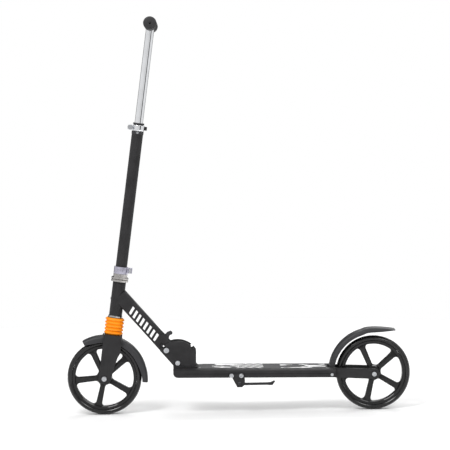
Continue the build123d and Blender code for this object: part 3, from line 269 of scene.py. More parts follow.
def shade(colour, factor):
    """A colour made lighter or darker."""
    return tuple(min(1.0, channel * factor) for channel in colour)


def powder_coat(colour):
    """Matt paint with fine orange peel and a slightly dusty sheen."""
    finish = Finish("matt_powder_coat", specular=0.22)
    finish.tint(finish.noise(24.0, 4.0), shade(colour, 0.82), shade(colour, 1.3))
    finish.rough(finish.noise(90.0, 5.0), 0.38, 0.56)
    finish.bump(finish.noise(1100.0, 2.0), 0.00014, 0.45)
    return finish.material


def nylon(colour):
    """Moulded black plastic with a spark-eroded grain."""
    finish = Finish("grained_black_nylon", specular=0.3)
    finish.tint(finish.noise(16.0, 3.0), shade(colour, 0.9), shade(colour, 1.35))
    finish.rough(finish.noise(60.0, 4.0), 0.36, 0.5)
    finish.bump(finish.cells(1100.0), 0.00014, 0.5)
    return finish.material


def gloss_plastic(colour):
    """Glossy moulding with faint flow marks and handling haze."""
    finish = Finish("gloss_black_moulding", specular=0.05, coat=0.5, coat_rough=0.05)
    finish.tint(finish.noise(40.0, 3.0), shade(colour, 0.9), shade(colour, 1.25))
    finish.rough(finish.noise(26.0, 6.0), 0.14, 0.3)
    finish.bump(finish.noise(260.0, 1.0), 0.00005, 0.12)
    return finish.material


def tyre_rubber(colour):
    """Cast tyre with a fine skin, scuffed a little."""
    finish = Finish("cast_tyre", specular=0.05, coat=0.6, coat_rough=0.06)
    scuff = finish.noise(70.0, 8.0, rough=0.7)
    finish.tint(scuff, shade(colour, 0.9), shade(colour, 1.9), 0.45, 0.75)
    finish.rough(scuff, 0.16, 0.4)
    finish.bump(finish.noise(900.0, 3.0), 0.00005, 0.3)
    return finish.material


def polished_chrome(colour):
    """Mirror plate with faint polishing haze."""
    finish = Finish("polished_chrome", metallic=1.0)
    finish.tint(finish.noise(30.0, 6.0), shade(colour, 0.93), shade(colour, 1.05))
    finish.rough(finish.noise(55.0, 7.0), 0.05, 0.13)
    finish.bump(finish.noise(500.0, 2.0), 0.00001, 0.1)
    return finish.material


def polished_nickel():
    """The headset's plated rings, warmer and darker than the bar's chrome."""
    finish = Finish("polished_nickel", metallic=1.0)
    finish.tint(finish.noise(35.0, 6.0), (0.36, 0.345, 0.335), (0.48, 0.465, 0.45))
    finish.rough(finish.noise(70.0, 6.0), 0.1, 0.2)
    finish.bump(finish.noise(500.0, 2.0), 0.00001, 0.1)
    return finish.material


def satin_alloy(colour):
    """Satin anodised alloy with turning marks round the steering axis."""
    finish = Finish("satin_collar_alloy", metallic=0.85)
    squashed = finish.stretched((0.1, 0.1, 30.0), asin(AXIS.x))
    turned = finish.noise(60.0, 3.0, squashed)
    finish.tint(turned, shade(colour, 0.9), shade(colour, 1.12))
    finish.rough(turned, 0.26, 0.4)
    finish.bump(turned, 0.00003, 0.25)
    return finish.material


def plated_steel(name, colour, low, high):
    """Plated or oiled steel with brushed streaks and slight tarnish."""
    finish = Finish(name, metallic=1.0)
    streak = finish.noise(300.0, 4.0, finish.stretched((1.0, 0.06, 1.0)))
    finish.tint(finish.noise(45.0, 5.0), shade(colour, 0.8), shade(colour, 1.1))
    finish.rough(streak, low, high)
    finish.bump(streak, 0.00002, 0.2)
    return finish.material


def moulded_rubber(name, colour, grain, depth):
    """Soft rubber with a fine skin and a faint bloom."""
    finish = Finish(name, specular=0.35)
    bloom = finish.noise(38.0, 5.0)
    finish.tint(bloom, shade(colour, 0.85), shade(colour, 1.12))
    finish.rough(bloom, 0.4, 0.58)
    finish.bump(finish.noise(grain, 3.0), depth, 0.4)
    return finish.material


def printed_marking(colour):
    """Opaque screen print, slightly worn."""
    finish = Finish("printed_marking", specular=0.4)
    wear = finish.noise(220.0, 6.0)
    finish.tint(wear, shade(colour, 0.72), shade(colour, 1.0), 0.3, 0.5)
    finish.rough(wear, 0.3, 0.42)
    finish.bump(wear, 0.00002, 0.2)
    return finish.material


# The deck's print: a band's lean over the width, bands and zones to a metre, where
# bands and splashes start and end in a zone, and half the printed width in metres.
BAND_LEAN, BANDS_PER_METRE, BAND_GAP = 0.8, 46.0, 0.6
ZONES_PER_METRE, BANDS_FROM, SPLASHES_TO = 4.3, 0.72, 0.52
SPLASH_LEVEL = 0.54
PRINT_HALF_WIDTH = 0.040
WORN_GRIT = 0.10


def deck_grip(colour, marking):
    """Gritty tape with plain printed bands and splashes, worn by feet."""
    finish = Finish("printed_grip_tape", specular=0.4)
    grit = finish.cells(1300.0)
    split = finish.nodes.new("ShaderNodeSeparateXYZ")
    finish.link(finish.place, split.inputs["Vector"])
    along_deck, across_deck = split.outputs["X"], split.outputs["Y"]
    # Slanted bands: a saw tooth of the length plus a share of the width.
    slant = finish.math("MULTIPLY_ADD", across_deck, BAND_LEAN)
    finish.link(along_deck, slant.node.inputs[2])
    bands = finish.math("FRACT", finish.math("MULTIPLY", slant, BANDS_PER_METRE))
    bands = finish.math("GREATER_THAN", bands, BAND_GAP)
    splash = finish.noise(26.0, 3.0, finish.stretched((0.7, 1.5, 1.0)), 0.5)
    splash = finish.math("GREATER_THAN", splash, SPLASH_LEVEL)
    # The deck alternates along its length between bands, splashes and bare tape.
    zone = finish.math("FRACT", finish.math("MULTIPLY", along_deck, ZONES_PER_METRE))
    banded = finish.math("GREATER_THAN", zone, BANDS_FROM)
    splashed = finish.math("LESS_THAN", zone, SPLASHES_TO)
    shapes = finish.math(
        "MAXIMUM",
        finish.math("MULTIPLY", bands, banded),
        finish.math("MULTIPLY", splash, splashed),
    )
    inside = finish.math("LESS_THAN", finish.math("ABSOLUTE", across_deck), PRINT_HALF_WIDTH)
    shapes = finish.math("MULTIPLY", shapes, inside)
    shapes = finish.math("MULTIPLY", shapes, finish.math("GREATER_THAN", grit, WORN_GRIT))
    speckle = finish.span(finish.noise(600.0, 3.0), 0, 1)
    base = finish.mix(speckle, shade(colour, 0.7), shade(colour, 1.7))
    finish.colour(finish.mix(shapes, base, tuple(marking)))
    finish.rough(grit, 0.6, 0.85)
    finish.bump(grit, 0.0003, 0.6)
    return finish.material


def make_finishes(colours):
    """Every finish: the record's material slots, the printed bars and the nickel."""
    coat = powder_coat(tuple(colours.paint))
    return {
        "black_alloy": coat,
        "black_paint": coat,
        "grip_tape": deck_grip((0.05, 0.05, 0.052), colours.marking),
        "steel_hardware": plated_steel("zinc_plated_steel", (0.48, 0.49, 0.51), 0.2, 0.36),
        "spring_steel": plated_steel("oiled_spring_wire", (0.3, 0.3, 0.31), 0.25, 0.45),
        "chrome": polished_chrome(tuple(colours.chrome)),
        "collar_alloy": satin_alloy(tuple(colours.collar)),
        "black_plastic": nylon((0.024, 0.024, 0.026)),
        "bronze": plated_steel("sintered_bronze", (0.5, 0.33, 0.15), 0.35, 0.5),
        "black_anodised": plated_steel("black_anodised", (0.05, 0.05, 0.055), 0.3, 0.42),
        "grip_rubber": moulded_rubber("grip_rubber", (0.022, 0.0215, 0.0225), 1000.0, 0.00015),
        "brake_rubber": moulded_rubber("brake_rubber", (0.02, 0.02, 0.02), 500.0, 0.0002),
        "gaiter_rubber": moulded_rubber("gaiter_rubber", tuple(colours.gaiter), 900.0, 0.00005),
        "gloss_wheel": gloss_plastic(tuple(colours.wheel)),
        "tyre_rubber": tyre_rubber(tuple(colours.tyre)),
        "marking": printed_marking(tuple(colours.marking)),
        "nickel": polished_nickel(),
    }


FINISHES = {}


# ------------------------------------------------------------- mesh helpers
def linked(name, data):
    """A new object that holds the data, in the scene."""
    item = bpy.data.objects.new(name, data)
    bpy.context.scene.collection.objects.link(item)
    return item


def add_object(name, mesh, slot, body, smooth):
    """A finished mesh that rides on a body, with edges over smooth degrees kept sharp."""
    piece = linked(name, mesh)
    mesh.materials.clear()
    mesh.materials.append(FINISHES[slot])
    mesh.shade_smooth()
    mesh.set_sharp_from_angle(angle=radians(smooth))
    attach(piece, body)
    # The record has no slot for the printed bars.
    return piece


def settled(carrier, name):
    """A working object's final shape as a plain mesh. The object is removed."""
    graph = bpy.context.evaluated_depsgraph_get()
    mesh = bpy.data.meshes.new_from_object(carrier.evaluated_get(graph))
    carrier.modifiers.clear()
    bpy.data.objects.remove(carrier)
    mesh.name = name
    return mesh


def baked(mesh, modifiers, name):
    """The mesh after the given modifiers, with nothing live left on it."""
    carrier = linked(name + "_work", mesh)
    for kind, settings in modifiers:
        modifier = carrier.modifiers.new(kind.lower(), kind)
        for key, value in settings.items():
            setattr(modifier, key, value)
    return settled(carrier, name)


def mesh_from(name, build):
    """What was built, as a mesh. The build is freed."""
    mesh = bpy.data.meshes.new(name)
    build.to_mesh(mesh)
    build.free()
    return mesh


def surface(points, faces):
    """Points and faces as the start of a build."""
    build = bmesh.new()
    verts = [build.verts.new(point) for point in points]
    for face in faces:
        build.faces.new([verts[index] for index in face])
    return build


def merged(mesh):
    """A mesh with its loose faces joined, as the start of a build."""
    build = bmesh.new()
    build.from_mesh(mesh)
    bmesh.ops.remove_doubles(build, verts=build.verts, dist=2e-6)
    return build


def mesh_of(name, points, faces):
    """A mesh from points and faces, with its faces turned outwards."""
    build = surface(points, faces)
    bmesh.ops.remove_doubles(build, verts=build.verts, dist=1e-6)
    bmesh.ops.recalc_face_normals(build, faces=build.faces)
    return mesh_from(name, build)


# A block's four corners, and its faces: the bottom's corners come first, then the top's.
CORNERS = ((-1, -1), (1, -1), (1, 1), (-1, 1))
BLOCK_FACES = (
    (0, 1, 2, 3), (4, 5, 6, 7), (0, 1, 5, 4), (1, 2, 6, 5), (2, 3, 7, 6), (3, 0, 4, 7)
)


def lathe(name, profile, foot, axis, segments=96):
    """A closed profile of (radius, station) points turned round an axis."""
    across = axis.orthogonal().normalized()
    other = axis.cross(across)
    points, faces = [], []
    count = len(profile)
    for step in range(segments):
        turn = 2 * pi * step / segments
        spoke = across * cos(turn) + other * sin(turn)
        for radius, station in profile:
            points.append(foot + axis * station + spoke * radius)
    for step in range(segments):
        here, there = step * count, ((step + 1) % segments) * count
        for index in range(count):
            after = (index + 1) % count
            faces.append((here + index, here + after, there + after, there + index))
    return mesh_of(name, points, faces)


def mirrored(side, middle=()):
    """A profile's one side, its middle points, and its other side."""
    return [*side, *middle, *((radius, -station) for radius, station in reversed(side))]


def joined(name, meshes):
    """Several meshes as one."""
    build = bmesh.new()
    for mesh in meshes:
        build.from_mesh(mesh)
    return mesh_from(name, build)


def softened_copy(node, width):
    """A CAD node's shape with its sharp edges rounded a little."""
    name = node + "_soft"
    build = merged(NODES[node].data)
    bmesh.ops.dissolve_limit(
        build, angle_limit=radians(0.6), verts=build.verts, edges=build.edges
    )
    rounding = {
        "width": width,
        "segments": 2,
        "limit_method": "ANGLE",
        "angle_limit": radians(38.0),
        "use_clamp_overlap": True,
        "harden_normals": False,
    }
    return baked(mesh_from(name, build), [("BEVEL", rounding)], name)


# ----------------------------------------------------------- geometry nodes
def ring_of_copies(tree, entry):
    """The tree's piece, copied in a ring about the local Z axis."""
    nodes, link = tree.nodes, tree.links.new
    index = nodes.new("GeometryNodeInputIndex")
    share = nodes.new("ShaderNodeMath")
    share.operation = "DIVIDE"
    link(index.outputs["Index"], share.inputs[0])
    link(entry.outputs["Count"], share.inputs[1])
    turn = nodes.new("ShaderNodeMath")
    turn.operation = "MULTIPLY"
    turn.inputs[1].default_value = 2 * pi
    link(share.outputs["Value"], turn.inputs[0])
    angle = nodes.new("ShaderNodeCombineXYZ")
    link(turn.outputs["Value"], angle.inputs["Z"])
    points = nodes.new("GeometryNodeMeshLine")
    points.mode = "OFFSET"
    points.inputs["Offset"].default_value = (0.0, 0.0, 0.0)
    link(entry.outputs["Count"], points.inputs["Count"])
    ring = nodes.new("GeometryNodeInstanceOnPoints")
    link(points.outputs["Mesh"], ring.inputs["Points"])
    link(entry.outputs["Geometry"], ring.inputs["Instance"])
    link(angle.outputs["Vector"], ring.inputs["Rotation"])
    return ring.outputs["Instances"]


def repeat_tree(name, polar, material):
    """Copies of the piece along a line, or of a ring of it, as one mesh."""
    tree = bpy.data.node_groups.new(name, "GeometryNodeTree")
    nodes, link = tree.nodes, tree.links.new
    for label, direction, kind in (
        ("Geometry", "INPUT", "Geometry"),
        ("Count", "INPUT", "Int"),
        ("Rows", "INPUT", "Int"),
        ("Step", "INPUT", "Vector"),
        ("Centre", "INPUT", "Vector"),
        ("Turn", "INPUT", "Vector"),
        ("Geometry", "OUTPUT", "Geometry"),
    ):
        tree.interface.new_socket(label, in_out=direction, socket_type="NodeSocket" + kind)
    entry = nodes.new("NodeGroupInput")
    leave = nodes.new("NodeGroupOutput")
    line = nodes.new("GeometryNodeMeshLine")
    line.mode = "OFFSET"
    link(entry.outputs["Rows"], line.inputs["Count"])
    link(entry.outputs["Centre"], line.inputs["Start Location"])
    link(entry.outputs["Step"], line.inputs["Offset"])
    piece = ring_of_copies(tree, entry) if polar else entry.outputs["Geometry"]
    place = nodes.new("GeometryNodeInstanceOnPoints")
    link(line.outputs["Mesh"], place.inputs["Points"])
    link(piece, place.inputs["Instance"])
    link(entry.outputs["Turn"], place.inputs["Rotation"])
    real = nodes.new("GeometryNodeRealizeInstances")
    link(place.outputs["Instances"], real.inputs["Geometry"])
    coat = nodes.new("GeometryNodeSetMaterial")
    coat.inputs["Material"].default_value = material
    link(real.outputs["Geometry"], coat.inputs["Geometry"])
    link(coat.outputs["Geometry"], leave.inputs["Geometry"])
    return tree


def repeated(name, mesh, slot, count=1, rows=1, step=(0, 0, 0), centre=(0, 0, 0),
             turn=(0, 0, 0), polar=True):
    """The mesh repeated by a node tree, as a plain mesh."""
    tree = repeat_tree(name + "_layout", polar, FINISHES[slot])
    carrier = linked(name + "_work", mesh)
    modifier = carrier.modifiers.new("repeat", "NODES")
    modifier.node_group = tree
    values = {"Count": count, "Rows": rows, "Step": step, "Centre": centre, "Turn": turn}
    for item in tree.interface.items_tree:
        if item.in_out == "INPUT" and item.name in values:
            modifier[item.identifier] = values[item.name]
    carrier.update_tag()
    return settled(carrier, name)


# ------------------------------------------------------------------ operators
# The headset's rings, which are plated otherwise than the bar.
NICKEL_NODES = ("upper_cup", "headset_races", "headset_locknut")


class SCOOTER_OT_finishes(bpy.types.Operator):
    """Give every CAD node its finish"""

    bl_idname = "scooter.finishes"
    bl_label = "Finishes"

    def execute(self, context):
        FINISHES.update(make_finishes(context.scene.scooter_colours))
        for node, piece in NODES.items():
            finish = FINISHES["nickel" if node in NICKEL_NODES else SLOTS[node]]
            for slot in piece.material_slots:
                slot.link = "DATA"
                slot.material = finish
        return {"FINISHED"}


# CAD nodes whose edges are rounded, by the body they ride on.
CASTINGS = {
    "deck": ("deck_board", "nose_cap", "quadrant_left", "quadrant_right",
             "rear_arm_left", "rear_arm_right", "kickstand_bracket"),
    "neck": ("neck_foot", "head_tube", "down_tube"),
    "latch": ("release_trigger",),
    "steering": ("clamp_collar", "height_clamp"),
    "lever": ("qr_lever",),
    "front_fork": ("fork",),
    "kickstand": ("kickstand_leg",),
}


class SCOOTER_OT_castings(bpy.types.Operator):
    """Round the edges of the castings, extrusions and clamps"""

    bl_idname = "scooter.castings"
    bl_label = "Castings"

    def execute(self, context):
        softness = context.scene.scooter_sizes.edge_softness
        for body, names in CASTINGS.items():
            for node in names:
                mesh = softened_copy(node, softness)
                piece = add_object(node + "_finished", mesh, SLOTS[node], body, 32.0)
                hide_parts(node)
        return {"FINISHED"}


class SCOOTER_OT_fasteners(bpy.types.Operator):
    """Show the kickstand's screws plated and its pivot pin blackened"""

    bl_idname = "scooter.fasteners"
    bl_label = "Fasteners"

    def execute(self, context):
        pivot = Vector(JOINTS["kickstand_swing"]["pos_m"])
        # Faces this near to the leg's pivot axis belong to the pin.
        pin_reach = 6 * MM
        for label, slot, is_pin in (
            ("kickstand_screws", "steel_hardware", False),
            ("kickstand_pin", "black_anodised", True),
        ):
            build = bmesh.new()
            build.from_mesh(softened_copy("kickstand_bolts", 0.3 * MM))
            others = []
            for face in build.faces:
                offset = face.calc_center_median() - pivot
                near = Vector((offset.x, 0, offset.z)).length < pin_reach
                if near != is_pin:
                    others.append(face)
            bmesh.ops.delete(build, geom=others, context="FACES")
            piece = add_object(label, mesh_from(label, build), slot, "deck", 32.0)
            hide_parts("kickstand_bolts")
        return {"FINISHED"}


# The wheels: the first spoke's angle, the rim's wall and half its width, half the
# spokes' thickness, the hub's radius, and the steps round a rim and over a tread.
FIRST_SPOKE = radians(-77.0)
RIM_WALL = 9 * MM
RIM_HALF = 12.6 * MM
SPOKE_HALF = 7 * MM
HUB_RADIUS = 20 * MM
RIM_STEPS = 160
TREAD_STEPS = 28


def half_angle(radius, hub_radius, rim_radius, sizes):
    """Half the angle of the window between two spokes, at a radius."""
    share = (radius - hub_radius) / (rim_radius - hub_radius)
    width = sizes.spoke_hub_width + share * (
        sizes.spoke_rim_width - sizes.spoke_hub_width
    )
    flare = 0.0
    for distance, fillet in (
        (rim_radius - radius, sizes.spoke_flare),
        (radius - hub_radius, sizes.spoke_flare * 0.45),
    ):
        if distance < fillet:
            flare += fillet - sqrt(fillet**2 - (fillet - distance) ** 2)
    return pi / sizes.spoke_count - asin((width / 2 + flare) / radius)


def window_outline(middle, hub_radius, rim_radius, sizes):
    """The rounded opening between two spokes, round the wheel's own axis."""
    side_steps, rim_steps, hub_steps = 26, 14, 4
    # The steps along a side are closer together at its ends, where the fillets are.
    radii = []
    for step in range(side_steps + 1):
        share = 0.5 - 0.5 * cos(pi * step / side_steps)
        radii.append(hub_radius + share * (rim_radius - hub_radius))
    turns = [half_angle(radius, hub_radius, rim_radius, sizes) for radius in radii]
    points = [(radius, middle - turn) for radius, turn in zip(radii, turns)]
    for step in range(1, rim_steps):
        points.append((rim_radius, middle - turns[-1] + 2 * turns[-1] * step / rim_steps))
    for radius, turn in zip(reversed(radii), reversed(turns)):
        points.append((radius, middle + turn))
    for step in range(1, hub_steps):
        points.append((hub_radius, middle + turns[0] - 2 * turns[0] * step / hub_steps))
    return [(radius * cos(angle), radius * sin(angle)) for radius, angle in points]


def circle_outline(radius, count):
    """A circle as a list of points."""
    return [
        (radius * cos(2 * pi * step / count), radius * sin(2 * pi * step / count))
        for step in range(count)
    ]


def pierced_plate(name, outlines, half_thickness, bevel):
    """A flat plate with openings and rounded edges, about the XY plane."""
    curve = bpy.data.curves.new(name, "CURVE")
    curve.dimensions = "2D"
    curve.fill_mode = "BOTH"
    curve.extrude = half_thickness - bevel
    curve.bevel_depth = bevel
    curve.bevel_resolution = 2
    curve.offset = -bevel
    for outline in outlines:
        spline = curve.splines.new("POLY")
        spline.points.add(len(outline) - 1)
        for point, (x, y) in zip(spline.points, outline):
            point.co = (x, y, 0.0, 1.0)
        spline.use_cyclic_u = True
    build = merged(settled(linked(name, curve), name))
    bmesh.ops.recalc_face_normals(build, faces=build.faces)
    return mesh_from(name, build)


def side_matrix(hub):
    """Carries a plate in XY to a wheel's own plane, with its Z across the wheel."""
    return Matrix.Translation(hub) @ Matrix(
        ((1, 0, 0, 0), (0, 0, -1, 0), (0, 1, 0, 0), (0, 0, 0, 1))
    )


def wheel_core(core, hub, bore, sizes):
    """A wheel's core: the plate of spokes, the rim's band and the hub's barrel."""
    _, half, outer = along(core, LEFT, hub)
    inner = outer - RIM_WALL
    outlines = [circle_outline(outer - 4 * MM, RIM_STEPS), circle_outline(bore + 3 * MM, 48)]
    for number in range(sizes.spoke_count):
        middle = FIRST_SPOKE + (number + 0.5) * 2 * pi / sizes.spoke_count
        outlines.append(window_outline(middle, HUB_RADIUS + 1 * MM, inner, sizes))
    plate = pierced_plate(core + "_plate", outlines, SPOKE_HALF, 1.6 * MM)
    plate.transform(side_matrix(hub))
    rim_side = [
        (outer - 0.2 * MM, -RIM_HALF + 0.8 * MM),
        (outer - 1.0 * MM, -RIM_HALF),
        (inner + 2.4 * MM, -RIM_HALF),
        (inner + 0.8 * MM, -RIM_HALF + 1.0 * MM),
        (inner, -RIM_HALF + 3.0 * MM),
        (inner + 0.6 * MM, -SPOKE_HALF),
    ]
    rim_profile = mirrored(rim_side, [(inner + 1.2 * MM, 0.0)])
    rim = lathe(core + "_rim", rim_profile, hub, LEFT, RIM_STEPS)
    barrel_side = [
        (bore, -half + 0.2 * MM),
        (HUB_RADIUS - 3.2 * MM, -half + 0.2 * MM),
        (HUB_RADIUS - 1.6 * MM, -half + 0.9 * MM),
        (HUB_RADIUS - 0.6 * MM, -half + 2.6 * MM),
        (HUB_RADIUS + 0.8 * MM, -SPOKE_HALF),
    ]
    barrel = lathe(core + "_barrel", mirrored(barrel_side), hub, LEFT)
    return joined(core + "_finished", [plate, rim, barrel])


def tyre_profile(seat, half, crown):
    """A tyre's section: beads and sidewalls, and half an ellipse over the tread."""
    shoulder = seat + 5.5 * MM
    side = [
        (seat, -RIM_HALF),
        (seat + 0.6 * MM, -RIM_HALF - 0.6 * MM),
        (seat + 2.2 * MM, -half + 0.9 * MM),
        (seat + 3.6 * MM, -half + 0.15 * MM),
        (shoulder, -half),
    ]
    tread = []
    for step in range(1, TREAD_STEPS):
        angle = pi * step / TREAD_STEPS
        tread.append((shoulder + (crown - shoulder) * sin(angle), -half * cos(angle)))
    return mirrored(side, tread)


class SCOOTER_OT_wheels(bpy.types.Operator):
    """Build the spoked cores and the tyres"""

    bl_idname = "scooter.wheels"
    bl_label = "Wheels"

    def execute(self, context):
        sizes = context.scene.scooter_sizes
        for end, hub in (("front", FRONT_HUB), ("rear", REAR_HUB)):
            body = end + "_wheel"
            core, tyre = end + "_wheel_core", end + "_tyre"
            bore = along(end + "_bearings", LEFT, hub)[2]
            mesh = wheel_core(core, hub, bore, sizes)
            piece = add_object(core + "_finished", mesh, "gloss_wheel", body, 30.0)
            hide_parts(core)
            seat = along(core, LEFT, hub)[2]
            _, half, crown = along(tyre, LEFT, hub)
            profile = tyre_profile(seat, half, crown)
            mesh = lathe(tyre + "_finished", profile, hub, LEFT, RIM_STEPS)
            piece = add_object(tyre + "_finished", mesh, "tyre_rubber", body, 50.0)
            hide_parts(tyre)
        return {"FINISHED"}


class SCOOTER_OT_gaiter(bpy.types.Operator):
    """Build the fork's folded gaiter and the spring inside it"""

    bl_idname = "scooter.gaiter"
    bl_label = "Gaiter"

    def execute(self, context):
        sizes = context.scene.scooter_sizes
        low, high, radius = along("bellows", AXIS, AXIS_FOOT)
        crest = radius + 1.2 * MM
        valley = crest - sizes.gaiter_depth
        wall = 1.4 * MM
        steps = sizes.gaiter_folds * 12
        outer, inner = [], []
        for step in range(steps + 1):
            share = step / steps
            wave = 0.5 - 0.5 * cos(2 * pi * sizes.gaiter_folds * share)
            # A power under 1 makes the crests broad and the valleys narrow.
            skin = valley + (crest - valley) * wave**0.7
            station = low + share * (high - low)
            outer.append((skin, station))
            inner.append((skin - wall, station))
        mesh = lathe("gaiter", outer + inner[::-1], AXIS_FOOT, AXIS)
        piece = add_object("gaiter", mesh, "gaiter_rubber", "steering", 60.0)
        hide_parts("bellows")
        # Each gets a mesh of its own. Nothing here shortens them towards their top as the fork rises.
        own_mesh(piece)
        mesh = mesh_from("fork_spring", merged(NODES["suspension_spring"].data))
        coil = add_object("fork_spring", mesh, "spring_steel", "steering", 60.0)
        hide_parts("suspension_spring")
        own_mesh(coil)
        return {"FINISHED"}


BAR_RADIUS = 11.1 * MM


def grip_profile(inner, outer, radius, sleeve):
    """A grip's section: a flange at each end of a thinner sleeve, and a holed end."""
    return [
        (BAR_RADIUS, inner),
        (radius - 2.2 * MM, inner),
        (radius - 0.6 * MM, inner + 0.8 * MM),
        (radius, inner + 2.2 * MM),
        (radius, inner + 4.6 * MM),
        (sleeve + 0.2 * MM, inner + 6.0 * MM),
        (sleeve, inner + 7.5 * MM),
        (sleeve, outer - 9.0 * MM),
        (sleeve + 0.2 * MM, outer - 8.0 * MM),
        (radius, outer - 6.5 * MM),
        (radius, outer - 3.4 * MM),
        (radius - 0.9 * MM, outer - 1.0 * MM),
        (radius - 3.0 * MM, outer),
        (3.4 * MM, outer),
        (2.6 * MM, outer - 0.6 * MM),
        (2.6 * MM, outer - 2.0 * MM),
        (BAR_RADIUS, outer - 2.0 * MM),
    ]


def grip_pad(name, sleeve):
    """One raised pad on a grip's sleeve, narrower at its top, along the local Z axis."""
    length, width = 5.2 * MM, 3.2 * MM
    root, top = sleeve - 0.3 * MM, sleeve + 0.8 * MM
    points = [(root, x * width / 2, z * length / 2) for x, z in CORNERS]
    points += [(top, x * width / 3, z * length / 2.8) for x, z in CORNERS]
    return mesh_of(name, points, BLOCK_FACES)


class SCOOTER_OT_grips(bpy.types.Operator):
    """Build the two grips, with rings of raised pads"""

    bl_idname = "scooter.grips"
    bl_label = "Grips"

    def execute(self, context):
        sizes = context.scene.scooter_sizes
        for side, name in ((1, "grip_left"), (-1, "grip_right")):
            low_corner, high_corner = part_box(name)
            outer = max(abs(low_corner.y), abs(high_corner.y))
            inner = min(abs(low_corner.y), abs(high_corner.y))
            radius = (high_corner.z - low_corner.z) / 2
            centre = (low_corner + high_corner) / 2
            foot = Vector((centre.x, 0, centre.z))
            axis = LEFT * side
            sleeve = radius - 0.9 * MM
            profile = grip_profile(inner, outer, radius, sleeve)
            tube = lathe(name + "_sleeve", profile, foot, axis)
            start, end = inner + 11 * MM, outer - 12.5 * MM
            pitch = (end - start) / (sizes.grip_rows - 1)
            pads = repeated(
                name + "_pads",
                grip_pad(name + "_pad", sleeve),
                "grip_rubber",
                count=sizes.grip_columns,
                rows=sizes.grip_rows,
                step=(0.0, side * pitch, 0.0),
                centre=foot + axis * start,
                turn=(-side * pi / 2, 0.0, 0.0),
            )
            mesh = joined(name + "_finished", [tube, pads])
            piece = add_object(name + "_finished", mesh, "grip_rubber", "handlebar", 35.0)
            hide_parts(name)
        return {"FINISHED"}


# Across a mudguard: share of the half width, and share of the skirt's depth.
GUARD_SECTION = (
    (-1.0, 1.0), (-1.0, 0.7), (-0.99, 0.45), (-0.94, 0.24), (-0.82, 0.1),
    (-0.6, 0.03), (-0.3, 0.0), (0.0, -0.01), (0.3, 0.0), (0.6, 0.03),
    (0.82, 0.1), (0.94, 0.24), (0.99, 0.45), (1.0, 0.7), (1.0, 1.0),
)


def guard_shell(name, stations, half_width, thickness):
    """A channel over a wheel: stations are (point, outward, skirt depth)."""
    points, faces = [], []
    count = len(GUARD_SECTION)
    for point, outward, depth in stations:
        for across, drop in GUARD_SECTION:
            points.append(point + LEFT * (across * half_width) - outward * (drop * depth))
    for row in range(len(stations) - 1):
        for column in range(count - 1):
            base = row * count + column
            faces.append((base, base + 1, base + count + 1, base + count))
    build = surface(points, faces)
    # The sheet is open, so its crown's middle face says which way it points.
    middle = len(stations) // 2
    crown = middle * (count - 1) + count // 2
    build.faces.ensure_lookup_table()
    build.normal_update()
    if build.faces[crown].normal.dot(stations[middle][1]) < 0:
        bmesh.ops.reverse_faces(build, faces=build.faces)
    wall = {"thickness": thickness, "offset": -1.0, "use_even_offset": True}
    rounding = {"width": 0.5 * MM, "segments": 2, "limit_method": "ANGLE",
                "angle_limit": radians(55)}
    smoothing = {"levels": 1, "render_levels": 1}
    modifiers = [("SOLIDIFY", wall), ("BEVEL", rounding), ("SUBSURF", smoothing)]
    return baked(mesh_from(name, build), modifiers, name)


def rise(share, start):
    """0 as far as start, then a straight line up to 1."""
    return max(0.0, share - start) / (1.0 - start)


def arc_station(hub, angle, radius, depth):
    """A mudguard station on a circle about a wheel's axle, from degrees and millimetres."""
    outward = Vector((cos(radians(angle)), 0, sin(radians(angle))))
    return hub + outward * (radius * MM), outward, depth * MM


def front_arc(first, last, steps, radius, depth):
    """Stations over the front wheel. Radius and depth depend on the share of the way."""
    stations = []
    for step in range(steps + 1):
        share = step / steps
        angle = first + (last - first) * share
        stations.append(arc_station(FRONT_HUB, angle, radius(share), depth(share)))
    return stations


# The rear fender: half its width and its barrels' section (radius, station) in
# millimetres, the angles of its arc in degrees, and its tip as
# (forward of the axle, above the axle, skirt depth) in millimetres.
FENDER_HALF = 25
FENDER_BARREL = ((3.6, 9.3), (6.2, 9.3), (6.9, 10.0), (6.9, 26.7), (6.2, 27.4), (3.6, 27.4))
FENDER_ANGLES = (3, 6, 10, 16, 22, 28, 34, 40, 46, 52, 58, 64, 70, 76)
FENDER_RADIUS, FENDER_DEPTH = 121.2, 14.0
FENDER_TIP = (
    (19, 122.0, 13.5), (8, 123.0, 13.4), (-3, 123.4, 13.2), (-14, 123.1, 12.6),
    (-25, 122.3, 11.2), (-36, 121.1, 9.0), (-46, 119.6, 6.6), (-54, 118.2, 4.2),
    (-60, 117.1, 2.4),
)


